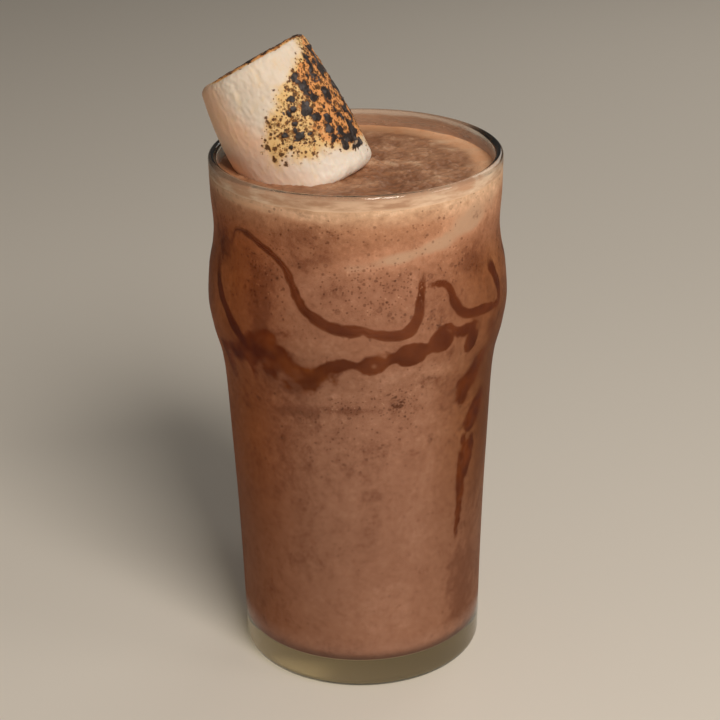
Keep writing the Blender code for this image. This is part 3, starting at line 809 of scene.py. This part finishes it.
def wallPaint(finish):
    # The colour of the drink against the glass, shared by its body and its froth: mottled and wispy, paler
    # where froth gathers, with bubbles and granules, and smears of sauce with ragged edges.
    z = finish.along("Z")
    left = finish.ease(finish.along("X"), -5 * mm, -22 * mm)
    lively = 0.55 + 0.45 * finish.ease(z, 50 * mm, 95 * mm)      # the froth settles out lower down
    cloud = finish.noise(10 * mm, 5, 0.6)
    mottle = finish.noise(3.0 * mm, 5, 0.7)
    ragged = finish.noise(2.4 * mm, 6, 0.75)
    speckle = finish.noise(1.2 * mm, 4, 0.75)
    grain = finish.noise(0.9 * mm, 3, 0.65)
    wisps = finish.noise(4 * mm, 4, 0.6, finish.stretched((1, 1, 0.28)))
    pale, smear, near = (finish.value(name) for name in ("pale", "smear", "near"))
    shade = (cloud - 0.5) * 0.7 + (mottle - 0.5) * 0.9 + (speckle - 0.5) * 0.9 + (wisps - 0.5) * 0.6
    shade = shade * (0.6 * lively + 0.4) + pale
    share = (z - left * drink["leftHigher"] - drink["riseFrom"]) / drink["riseBy"]
    colour = finish.layered(
        finish.ramp(share, drink["rise"]),
        (finish.ease(shade, 0.04, -0.40) * 0.9, drink["shaded"], "MULTIPLY"),
        (finish.ease(shade, 0.0, 0.46) * 0.9, drink["frothed"], "MULTIPLY"),
        (finish.ease(grain, 0.52, 0.68) * lively * 0.4, drink["paleGrain"], "MULTIPLY"),
        (finish.ease(grain, 0.48, 0.32) * lively * 0.45, drink["darkGrain"], "MULTIPLY"),
        (finish.ease(pale + (wisps - 0.5) * 0.5, 0.30, 0.62) * 0.8, drink["froth"]),
        (finish.ease(pale, 0.35, 0.6) * left * 0.9, drink["frothedLeft"], "MULTIPLY"),
    )
    # Dark bubbles, each kept or left out by its cell's own lot, and pale sparkles.
    crowd = finish.value("bubbles") * lively
    for cell, radius, number, dark in drink["spots"]:
        reach = finish.cells(cell) + (grain - 0.5) * 0.3
        spots = finish.ease(reach, radius, radius - 0.10) * (0.55 + 0.45 * finish.ease(reach, 0.12, 0.24))
        spots = spots * finish.ease(finish.lot(cell) - crowd * number, 0.03, -0.03)
        colour = finish.blend(spots * lively * dark, colour, drink["spotted"], "MULTIPLY")
    spark = finish.ease(finish.cells(0.8 * mm, place=finish.stretched((1.0, 1.0, 1.07))), 0.24, 0.12)
    lucky = finish.ease(finish.noise(0.9 * mm, 0), 0.56, 0.66)
    # Granules of chocolate where the bubbles crowd most.
    granules = finish.ease(crowd, 0.9, 1.2) * finish.ease(grain * 0.3 + speckle * 0.7, 0.47, 0.53)
    # Sauce: a wash where it is smeared, and torn edges beside the strands.
    tone = sauceTone(finish, smear)
    wash = finish.ease(smear * 0.85 + (ragged - 0.5) * 2.6, 0.14, 0.86)
    faint = finish.ease(finish.value("faint") + (mottle - 0.5) * 0.8, 0.0, 1.1)
    torn = near + (ragged - 0.5) * (1.2 + smear * 3) + (speckle - 0.5) * (0.9 + smear)
    line = finish.ease(torn, -0.25 - smear * 0.4, 0.25 + smear * 0.4) * (1 - faint * 0.75)
    edge = finish.blend(finish.ease(torn, 0.6, 0.0) * 0.4, tone, drink["thinSauce"])
    # All of it laid over the colour, with painted shade along the corner at the bottom and towards the sides.
    return paintedSideShade(finish, finish.layered(
        colour,
        (spark * lucky * finish.ease(crowd, 0.05, 0.5) * 0.6, drink["spark"]),
        (granules * 0.95, drink["granule"]),
        (finish.ease(z, 12.5 * mm, 8.6 * mm) * 0.8, drink["cornerShade"], "MULTIPLY"),
        (wash * 0.95, tone),
        (line, edge),
    ))


def chocolateDrink():
    finish = Finish("chocolate_drink")
    # Under the drink the floor of the glass mirrors what is round it, and what it carries shows a painted
    # glow, brighter to the left, in place of the light that the thick foot gathers.
    under = finish.ease(finish.along("Z"), 8.7 * mm, 8.0 * mm)
    colour = finish.blend(under, wallPaint(finish), drink["under"])
    right = finish.ease(finish.along("X"), -26 * mm, 28 * mm)
    paintedGlow = finish.blend(right, drink["paintedGlowLeft"], drink["paintedGlowRight"])
    return finish.wear(
        colour=colour, rough=0.6 - under * 0.25, specular=0.1, metal=under * 0.6,
        glow=finish.blend(under, (0, 0, 0), paintedGlow), shine=1.0,
    )


def makeDrinkBody():
    # The inside of the glass, filled: floor, corner and wall up to the froth, closed by a hidden lid.
    floor, corner, skin, join = glass["floor"], glass["floorCorner"], drink["skin"], drink["join"]
    middle = innerRadius(floor + corner) - corner
    under = level(nearAxis, middle - 1 * mm, floor - skin, 10)
    bend = arc((middle, floor + corner), corner + skin, -90, 0, 10)
    heights = np.append(np.linspace(floor + corner, join - 0.04 * mm, drink["rows"] - 1), join)
    wall = onGrid(innerRadius(heights) + skin, heights)[1:]
    lid = level(wall[-1, 0] - 1 * mm, nearAxis, join - 0.2 * mm, 4)
    rings = carriedRound(np.vstack([under, bend, wall, lid]), drink["columns"])
    piece = gridPiece("drink_body", rings)
    wallValues(piece, rings)
    finished(piece, chocolateDrink(), "chocolate_drink", "drink")


froth = {
    "columns": 440,
    "rings": 150,
    "lumps": 0.75 * mm,      # height of the soft lumps in the middle
    "swell": 0.35 * mm,      # height of the broad swells under them
    "ring": 4.6 * mm,        # width of the smooth ring along the glass
    "climb": 0.75 * mm,      # how far the froth climbs the glass
    "climbWidth": 0.9 * mm,
    "hug": 0.35 * mm,        # how far it climbs the marshmallow
    "hugWidth": 0.6 * mm,
    "sunk": 0.1 * mm,        # how far its calm surface lies under the level
    "wallSteps": (0, 0.03, 0.2, 0.4, 0.6, 0.8, 0.97, 1),
    "dark": (0.24, 0.100, 0.047),
    "middle": (0.43, 0.215, 0.115),
    "pale": (0.66, 0.43, 0.27),
    "ringDark": (0.47, 0.225, 0.110),
    "ringPale": (0.60, 0.33, 0.18),
    # painted light: the froth's ring is brighter towards the right
    "litRingDark": (0.72, 0.37, 0.195),    # the ring at the right
    "litRingPale": (0.90, 0.54, 0.32),
    "fizz": (0.15, 0.058, 0.026),
}


def frothTop(x, y):
    # Soft lumps in the middle, smooth and slightly dished towards the glass and round the marshmallow: noises
    # added up, and climbs that fall away as e to the minus distance.
    edge = innerRadius(drink["level"])
    fromWall = edge - np.hypot(x, y)
    right, back, _ = mallowFrame()
    offset = onGrid(x, y, drink["level"]) - np.array(mallow["foot"])
    fromMallow = np.hypot(offset @ right, offset @ back) - mallow["waist"]
    calm = eased(fromWall, froth["ring"] * 0.55, froth["ring"] * 1.7)
    flat = onGrid(x, y, 0.0)
    folds = 0.5 - np.abs(layeredNoise(flat, 3.4 * mm, 47, 3, 0.55)) * 1.7
    lumps = 0.55 * layeredNoise(flat, 4.5 * mm, 41, 3, 0.6) + 0.45 * folds
    fine = 0.14 * softNoise(flat, 0.8 * mm, 53)
    swell = froth["swell"] * softNoise(flat, 14 * mm, 59) * eased(fromWall, 0, 8 * mm)
    ragged = 0.6 + 0.4 * layeredNoise(flat, 5 * mm, 61, 2)
    climb = froth["climb"] * ragged * np.exp(-np.maximum(fromWall, 0) / froth["climbWidth"])
    hug = froth["hug"] * np.exp(-np.maximum(fromMallow, 0) / froth["hugWidth"])
    height = drink["level"] - froth["sunk"] + froth["lumps"] * (lumps + fine) * calm + swell + climb + hug
    return height, calm, lumps


def chocolateFroth():
    finish = Finish("chocolate_froth")
    mottle = finish.noise(2.8 * mm, 5, 0.65)
    clumps = finish.noise(7 * mm, 3)
    fizz = finish.ease(finish.cells(0.75 * mm), 0.30, 0.14)
    fizz = fizz * finish.ease(finish.noise(3 * mm, 2), 0.42, 0.62)
    tone = finish.value("lump") * 0.7 + (mottle - 0.5) * 2.6 + (clumps - 0.5) * 2.2
    tone = tone - finish.ease(finish.along("Y"), -8 * mm, -26 * mm) * 0.35 - 0.10
    middle = finish.layered(
        froth["dark"],
        (finish.ease(tone, -0.6, 0.35), froth["middle"]),
        (finish.ease(tone, 0.1, 0.9), froth["pale"]),
    )
    streaks = finish.ease(mottle, 0.35, 0.65)
    ring = finish.blend(streaks, froth["ringDark"], froth["ringPale"])
    # Painted light: the ring brighter towards the right.
    litRing = finish.blend(streaks, froth["litRingDark"], froth["litRingPale"])
    ring = finish.blend(finish.ease(finish.along("X"), 8 * mm, 30 * mm), ring, litRing)
    calm = finish.ease(finish.value("calm") + (mottle - 0.5) * 2.2, -0.2, 1.1)
    top = finish.layered(ring, (calm, middle), (fizz * 0.45, froth["fizz"]))
    colour = finish.blend(finish.value("upper"), wallPaint(finish), top)
    relief = mottle * 0.6 + finish.noise(0.9 * mm, 2) * 0.4 - fizz * 0.3
    return finish.wear(colour=colour, rough=0.5, specular=0.35, normal=finish.bump(relief, 0.6 * mm, 0.5))


def makeFroth():
    # A thick disc: a hidden underside, a short wall against the glass, and rings of its top closing on the
    # axis.
    columns, join = froth["columns"], drink["join"]
    turn = np.linspace(0, math.tau, columns, endpoint=False)
    edge = innerRadius(drink["level"])
    share = np.linspace(1, 0.012, froth["rings"])[:, None]
    reach = edge * (1 - (1 - share) ** 0.9)
    height, calm, lumps = frothTop(reach * np.sin(turn), -reach * np.cos(turn))
    brim = height[0] + 0.05 * mm
    wallHeight = join + (brim - join) * np.array(froth["wallSteps"])[:, None]
    wall = roundAxis(innerRadius(wallHeight) + drink["skin"], turn, wallHeight)
    deep, shallow = join - 0.9 * mm, join - 0.6 * mm
    hidden = np.array([(nearAxis, deep), (edge - 2 * mm, deep), (edge - 0.4 * mm, shallow)])
    rings = np.concatenate([carriedRound(hidden, columns), wall, roundAxis(reach, turn, height)])
    piece = gridPiece("drink_froth", rings)
    wallValues(piece, rings)
    pad = np.zeros((len(hidden) + len(wall), columns))
    for name, values in {"upper": np.ones_like(calm), "calm": calm, "lump": lumps}.items():
        keepValue(piece, name, np.concatenate([pad, values]))
    finished(piece, chocolateFroth(), "chocolate_drink", "drink")


film = {
    "top": 151.1 * mm,
    "depth": 0.12 * mm,
    "rows": 24,
    "thinFront": (0.60, 0.335, 0.215),
    "thinSideAndHighlight": (0.76, 0.44, 0.295),
    "thickFront": (0.86, 0.57, 0.41),
    "thickSideAndHighlight": (1.0, 0.75, 0.58),
    "lowFront": (0.93, 0.64, 0.46),
    "thinBack": (0.37, 0.165, 0.075),
    "thickBack": (0.52, 0.27, 0.145),
    "lowBack": (0.66, 0.46, 0.34),
}


def chocolateFilm():
    # What the froth left behind on the glass: streaky, thinner the higher it reached, and browner at the
    # back.
    # Lighter towards the sides: partly froth, and partly a painted highlight on the lip.
    finish = Finish("chocolate_film")
    z = finish.along("Z")
    aside = finish.ease(finish.along("X").size(), 10 * mm, 30 * mm)
    behind = finish.ease(finish.along("Y"), -18 * mm, 14 * mm)
    streaks = finish.noise(5 * mm, 4, 0.6, finish.stretched((1, 1, 4)))
    light = finish.ease(streaks, 0.35, 0.65)
    uneven = (streaks - 0.5) * (2 * mm)
    thin = finish.blend(aside, film["thinFront"], film["thinSideAndHighlight"])
    thick = finish.blend(aside, film["thickFront"], film["thickSideAndHighlight"])
    lowest = finish.ease(z + (streaks - 0.5) * (1 * mm), 148.0 * mm, 147.3 * mm) * 0.8
    front = finish.layered(thin, (light, thick), (lowest, film["lowFront"]))
    low = finish.ease(z + uneven, 148.2 * mm, 147.2 * mm)
    back = finish.layered(film["thinBack"], (light, film["thickBack"]), (low * light, film["lowBack"]))
    cover = (0.86 + 0.12 * light) * (1 - 0.30 * behind) * (1 - 0.25 * finish.ease(z, 147 * mm, 150.4 * mm))
    cover = cover * finish.ease(z + uneven, film["top"], film["top"] - 1 * mm)
    return finish.wear(colour=finish.blend(behind, front, back), rough=0.4, specular=0.3, alpha=cover)


def makeFilm():
    # A thin ring against the inside of the glass, from below the froth's edge to just under the lip.
    heights = np.linspace(drink["join"] + 0.6 * mm, film["top"], film["rows"])
    out = onGrid(innerRadius(heights) + drink["skin"] / 2, heights)
    back = out[::-1] - [film["depth"], 0]
    rings = carriedRound(np.vstack([out, back]), glass["columns"])
    finished(gridPiece("chocolate_film", rings, looped=True), chocolateFilm(), "chocolate_drink", "glass")


mallow = {
    "foot": (-0.0093, -0.0001, 0.1409),
    "lean": (-0.475, 0.205, 0.856),
    "length": 40.6 * mm,
    "footRadius": 16.8 * mm,
    "topRadius": 16.3 * mm,
    "waist": 17.2 * mm,      # its radius where the froth meets it
    "belly": 1.6 * mm,
    "bellyLeft": 0.6,        # how much more of the belly hangs to the left
    "footRounding": 3.2 * mm,
    "topRounding": 2.4 * mm,
    "columns": 420,
    "rows": 150,
    "noiseRadius": 17 * mm,
    "drawnOut": 0.42,        # below 1, it draws the creases out along the marshmallow
    "crease": 0.19 * mm,
    "dent": 0.22 * mm,
    "grain": 0.09 * mm,
    "perDegree": 0.3,        # mm of its side to a degree of turn
    # where the toasted field ends: its turn at the left by the share of the length, its share of the length
    # below by the turn, and its turn at the right
    "toastLeft": (
        (0.2, -80), (0.34, -113), (0.46, -108), (0.56, -100), (0.685, -86), (0.757, -68), (0.862, -40),
        (1.0, -27),
    ),
    "toastLow": (
        (-115, 0.33), (-90, 0.26), (-74, 0.205), (-60, 0.19), (-24, 0.115), (0, 0.10), (60, 0.25),
        (100, 0.5),
    ),
    "toastRight": 88,
    # burnt patches: turn in degrees (0 right, -90 front), share of the length, half width and half length in
    # mm, strength
    "char": (
        (-8.7, 0.879, 1.6, 1.1, 1.0), (-25.9, 0.788, 1.1, 1.9, 1.1), (-10.3, 0.690, 3.2, 1.9, 1.2),
        (-50.7, 0.757, 2.1, 0.8, 1.1), (-48.2, 0.715, 1.4, 1.5, 1.1), (-51.0, 0.668, 0.9, 1.7, 1.1),
        (-28.7, 0.600, 1.0, 2.0, 1.1), (2.0, 0.590, 2.0, 2.6, 1.0), (-65.3, 0.641, 1.2, 0.9, 1.1),
        (-57.7, 0.560, 1.3, 1.7, 1.1), (-61.5, 0.520, 0.7, 1.2, 1.0), (-45.2, 0.575, 1.0, 0.7, 0.9),
        (-53.7, 0.459, 1.8, 1.1, 1.1), (-41.0, 0.487, 0.8, 1.1, 1.0), (-42.4, 0.410, 1.3, 2.0, 1.15),
        (-47.0, 0.350, 1.5, 1.5, 1.15), (-46.7, 0.290, 1.4, 1.5, 1.1), (-27.1, 0.382, 1.4, 2.6, 0.85),
        (-21.0, 0.450, 1.3, 2.2, 0.85), (-34.4, 0.238, 2.8, 1.9, 1.25), (-22.0, 0.225, 2.6, 2.4, 1.2),
        (-38.0, 0.195, 2.0, 1.1, 1.1), (-27.6, 0.160, 2.4, 1.1, 1.1), (-19.1, 0.300, 1.2, 2.6, 1.0),
        (-74.8, 0.405, 1.2, 0.9, 1.1), (-66.5, 0.385, 1.3, 0.6, 0.95), (-78.0, 0.590, 0.4, 0.9, 0.9),
        (-74.5, 0.575, 0.5, 1.1, 0.9), (-68.2, 0.582, 0.7, 0.6, 1.0), (-87.2, 0.454, 1.0, 0.7, 1.0),
        (-72.6, 0.491, 0.9, 0.8, 1.0), (-76.5, 0.450, 0.5, 1.0, 0.9), (-86.0, 0.367, 0.8, 0.7, 1.0),
        (-68.3, 0.327, 1.0, 0.4, 0.9), (-69.6, 0.280, 0.6, 0.6, 0.9), (-5, 0.47, 1.6, 2.4, 0.9),
        (6, 0.36, 2.2, 3.0, 1.0), (12, 0.80, 2.0, 1.6, 0.9), (24, 0.62, 2.6, 2.0, 1.0),
        (28, 0.28, 2.4, 1.8, 1.0), (44, 0.46, 2.2, 2.4, 0.9), (60, 0.7, 1.8, 1.4, 0.8),
        (150, 0.5, 1.4, 1.8, 0.7), (190, 0.35, 1.2, 1.4, 0.7),
    ),
    # burnt specks: cell, reach as a share of it, how many there are
    "specks": ((1.7 * mm, 0.40, 0.58), (1.05 * mm, 0.40, 0.72), (0.66 * mm, 0.36, 0.60)),
    "cream": (0.66, 0.54, 0.43),
    "white": (0.78, 0.67, 0.55),
    "paintedLitLow": (0.86, 0.77, 0.67),
    "shade": (0.91, 0.55, 0.355),
    "shadeLow": (0.80, 0.59, 0.45),
    "yellow": (0.77, 0.50, 0.19),
    "freckle": (0.21, 0.10, 0.024),
    "orange": (0.74, 0.30, 0.095),
    "speckRim": (0.42, 0.175, 0.035),
    "speck": (0.075, 0.030, 0.010),
    "scorch": (0.20, 0.065, 0.016),
    "black": (0.012, 0.010, 0.010),
    "ash": (0.085, 0.076, 0.078),
}


def mallowFrame():
    # The marshmallow's own axes in the room: to its right, to its back and along it.
    along = np.array(mallow["lean"]) / np.linalg.norm(mallow["lean"])
    right = np.cross((0, 1, 0), along)
    right /= np.linalg.norm(right)
    return right, np.cross(along, right), along


def mallowOutline():
    # Along its own axis from the sunken end: cap, rounding, side, rounding, cap.
    foot, top, length = mallow["footRounding"], mallow["topRounding"], mallow["length"]
    low = arc((mallow["footRadius"] - foot, foot), foot, -90, 0, 14)
    high = arc((mallow["topRadius"] - top, length - top), top, 0, 90, 18)
    side = np.linspace(low[-1], high[0], mallow["rows"])[1:-1]
    under = level(nearAxis, low[0, 0] - 0.8 * mm, 0.0, 6)
    over = level(high[-1, 0] - 0.4 * mm, nearAxis, length, 26)
    return np.vstack([under, low, side, high, over])


def gridNormals(rings):
    # The cross product of the steps round the rings and along the rows, pointing out.
    along = np.gradient(rings, axis=0)
    around = (np.roll(rings, -1, 1) - np.roll(rings, 1, 1)) / 2
    normal = np.cross(around, along)
    return normal / np.maximum(np.linalg.norm(normal, axis=-1, keepdims=True), 1e-12)


def mallowWrinkles(rings, height, turn, out):
    # Creases, 1 less the size of a slanting noise drawn out along the axis, with broad dents and fine grain.
    reach = mallow["noiseRadius"] * np.minimum(out, 1)
    drawn = onGrid(np.cos(turn) * reach, np.sin(turn) * reach, height * mallow["drawnOut"])
    slant = drawn.copy()
    slant[..., 2] += 1.4 * mm * np.abs(turn - math.pi)
    creases = 1 - np.abs(layeredNoise(slant, 2.3 * mm, 71, 3, 0.55)) * 2.4
    dents = mallow["dent"] * softNoise(drawn, 6 * mm, 73)
    return mallow["crease"] * creases + dents + mallow["grain"] * softNoise(rings, 0.9 * mm, 79)


def mallowToast(rings, degrees, tall, onCap, patchy):
    # How brown each place is, from how far inside the toasted field it lies in mm, and how hot it was, where
    # the flame lingered.
    fromLeft = (degrees - np.interp(tall, *zip(*mallow["toastLeft"]))) * mallow["perDegree"]
    fromLow = (tall - np.interp(degrees, *zip(*mallow["toastLow"]))) * (mallow["length"] / mm)
    fromRight = (mallow["toastRight"] - degrees) * mallow["perDegree"]
    inward = np.minimum(np.minimum(fromLeft, fromLow), fromRight)
    cap = np.clip(onCap * (0.8 + 0.5 * layeredNoise(rings, 6 * mm, 103, 3)), 0, 1)
    toast = np.maximum(eased(inward + 3.0 * patchy, -2.0, 8.5), cap)
    hot = eased(inward + 2.0 * patchy - 2.4 * eased(tall, 0.66, 0.84), 0.5, 5.0)
    hot = hot * eased(degrees + 26 * patchy, -72, -38) * (1 - 0.35 * eased(tall, 0.8, 0.95))
    return toast, hot


def mallowChar(rings, degrees, tall, onCap, hot):
    # The listed patches, each a cone that falls from its strength, and more char wherever it was hot, all
    # torn by noise.
    charred = np.maximum(0.96 * hot - 1.25, 1.10 * onCap - 1.30)
    for spotTurn, spotShare, halfWidth, halfLength, strength in mallow["char"]:
        away = (degrees - spotTurn + 180) % 360 - 180
        across = np.radians(away) * mallow["waist"] / mm / halfWidth
        along = (tall - spotShare) * mallow["length"] / mm / halfLength
        charred = np.maximum(charred, (strength - np.hypot(across, along)) * 0.95 - 0.02)
    return charred + 1.75 * layeredNoise(rings, 2.1 * mm, 89, 4, 0.55)


def makeMallow():
    # The turned outline swells between its ends by a sine, more to its left. Then the wrinkles are pressed
    # into it, and the burnt patches stand proud of it as blisters.
    outline = mallowOutline()
    radius, height = outline[:, :1], outline[:, 1:]
    turn = np.linspace(0, math.tau, mallow["columns"], endpoint=False)[None]
    out = radius / mallow["footRadius"]
    tall = np.clip(height / mallow["length"], 0, 1) + 0 * turn
    belly = mallow["belly"] * (1 - mallow["bellyLeft"] * np.cos(turn)) * np.sin(np.pi * tall)
    full = radius + belly * out
    rings = onGrid(full * np.cos(turn), full * np.sin(turn), height)
    degrees = (np.degrees(turn) + 180) % 360 - 180 + 0 * height
    patchy = layeredNoise(rings, 5 * mm, 101, 3)
    onCap = eased(height, mallow["length"] - 1.1 * mm, mallow["length"] - 0.2 * mm)
    onCap = onCap * eased(rings[..., 0], -14 * mm, -7 * mm)
    toast, hot = mallowToast(rings, degrees, tall, onCap, patchy)
    charred = mallowChar(rings, degrees, tall, onCap, hot)
    shaded = eased(np.abs(degrees) + 50 * (1 - tall) + 9 * patchy, 114, 150)
    smooth = np.maximum(shaded, eased(tall, 0.5, 0.2) * eased(np.abs(degrees), 70, 105))
    lift = mallowWrinkles(rings, height, turn, out) * (1 - 0.65 * smooth) - (0.38 + 0.12 * onCap) * mm
    lift += eased(charred, -0.1, 0.35) * (0.20 + 0.14 * softNoise(rings, 0.8 * mm, 97)) * mm
    rings = rings + gridNormals(rings) * (lift * np.minimum(out * 2, 1))[..., None]
    piece = gridPiece("toasted_marshmallow", np.array(mallow["foot"]) + rings @ np.stack(mallowFrame()))
    values = {"toast": toast, "hot": np.maximum(hot, onCap), "char": charred, "shaded": shaded}
    for name, value in values.items():
        keepValue(piece, name, value)
    finished(piece, toastedMarshmallow(), "toasted_marshmallow", "marshmallow")


def toastedMarshmallow():
    finish = Finish("toasted_marshmallow")
    toast, hot, char, shaded = (finish.value(name) for name in ("toast", "hot", "char", "shaded"))
    z = finish.along("Z")
    cloud = finish.noise(5 * mm, 3)
    grain = finish.noise(1.1 * mm, 3, 0.6)
    jagged = finish.noise(0.9 * mm, 4, 0.7)
    # Creamy yellow where it is barely toasted, orange where the flame lingered.
    yellow = finish.ease(toast + (finish.noise(2 * mm, 4, 0.65) - 0.5) * 1.2, 0.0, 0.60)
    orange = finish.ease(hot + (finish.noise(2.4 * mm, 4, 0.65) - 0.5) * 2.0, 0.30, 0.80)
    freckles = finish.ease(finish.noise(1.2 * mm, 5, 0.8) + toast * 0.12, 0.61, 0.68)
    # Painted shade along the left side, and painted light, whiter low down near the froth.
    shade = finish.blend(finish.ease(z, 161 * mm, 151 * mm), mallow["shade"], mallow["shadeLow"])
    colour = finish.layered(
        mallow["cream"],
        (cloud, mallow["white"]),
        (finish.ease(z, 160 * mm, 151 * mm) * 0.7, mallow["paintedLitLow"]),
        (shaded * 0.92, shade),
        (yellow * 0.9, mallow["yellow"]),
        (freckles * finish.ease(toast, 0.02, 0.3) * 0.8, mallow["freckle"]),
        (orange * 0.88, mallow["orange"]),
    )
    # Specks of burnt sugar, more of them where it is more toasted.
    for cell, reach, number in mallow["specks"]:
        middle = finish.cells(cell) + (jagged - 0.5) * 1.5
        lucky = finish.ease(finish.lot(cell) - toast * number, 0.04, -0.03) * finish.ease(toast, 0.02, 0.14)
        colour = finish.layered(
            colour,
            (finish.ease(middle, reach + 0.16, reach - 0.04) * lucky * 0.6, mallow["speckRim"]),
            (finish.ease(middle, reach, reach - 0.10) * lucky * 0.92, mallow["speck"]),
        )
    edge = char + (jagged - 0.5) * 1.3 + (grain - 0.5) * 0.8
    black = finish.ease(edge, -0.02, 0.16)
    soot = finish.blend(finish.ease(finish.noise(1.0 * mm, 3), 0.48, 0.70), mallow["black"], mallow["ash"])
    scorched = finish.ease(edge, -0.30, 0.08)
    colour = finish.layered(colour, (scorched * 0.75, mallow["scorch"]), (black * 0.96, soot))
    relief = cloud * 0.5 + grain * 0.25 + black * (0.3 + 0.5 * finish.noise(0.6 * mm, 2))
    return finish.wear(
        colour=colour, rough=finish.ease(black, -1.0, 1.0) * -0.25 + 0.85, specular=0.35,
        scatter=0.22, reach=2.2 * mm, spread=(1.0, 0.6, 0.4), normal=finish.bump(relief, 0.4 * mm, 0.6),
    )


room = {
    "floor": (0.78, 0.72, 0.64),
    "side": 2.5,             # half the floor's width
    "drop": 0.2 * mm,        # how far the floor lies under the glass
    "sky": (0.90, 0.86, 0.79),
    "skyPower": 0.10,
    "aim": (0, 0, 0.1),
    # name: place, size, power, colour
    "lamps": {
        "key": ((0.32, -0.71, 0.80), 0.45, 9.3, (1.0, 0.94, 0.86)),
        "side": ((0.90, -0.33, 0.55), 0.30, 0.9, (1.0, 0.96, 0.90)),
        "fill": ((-0.9, -0.45, 0.45), 0.8, 0.2, (1.0, 0.90, 0.78)),
        "rim": ((0.45, 0.75, 0.55), 0.5, 1.0, (1.0, 0.95, 0.88)),
    },
}


def makeRoom():
    side, drop = room["side"], room["drop"]
    mesh = bpy.data.meshes.new("floor")
    corners = [(x * side, y * side, -drop) for x, y in ((-1, -1), (1, -1), (1, 1), (-1, 1))]
    mesh.from_pydata(corners, [], [(0, 1, 2, 3)])
    mesh.materials.append(Finish("pale_floor").wear(colour=room["floor"], rough=0.8, specular=0.2))
    floor = bpy.data.objects.new("floor", mesh)
    bpy.context.scene.collection.objects.link(floor)
    world = bpy.data.worlds.new("studio")
    world.use_nodes = True
    sky = world.node_tree.nodes["Background"]
    feed(world.node_tree, sky.inputs["Color"], room["sky"])
    feed(world.node_tree, sky.inputs["Strength"], room["skyPower"])
    bpy.context.scene.world = world
    for name, (place, size, power, colour) in room["lamps"].items():
        lamp = bpy.data.lights.new(name, "AREA")
        lamp.size, lamp.energy, lamp.color = size, power, colour
        holder = bpy.data.objects.new(name, lamp)
        turned = (Vector(room["aim"]) - Vector(place)).to_track_quat("-Z", "Y").to_matrix().to_4x4()
        holder.matrix_world = Matrix.Translation(place) @ turned
        bpy.context.scene.collection.objects.link(holder)
    bpy.context.scene.view_settings.view_transform = "Standard"
    print("made the floor, the sky and", len(room["lamps"]), "lamps")


aimCamera()
makeRoom()
makeGlass()
makeSauce()
makeDrinkBody()
makeFroth()
makeFilm()
makeMallow()
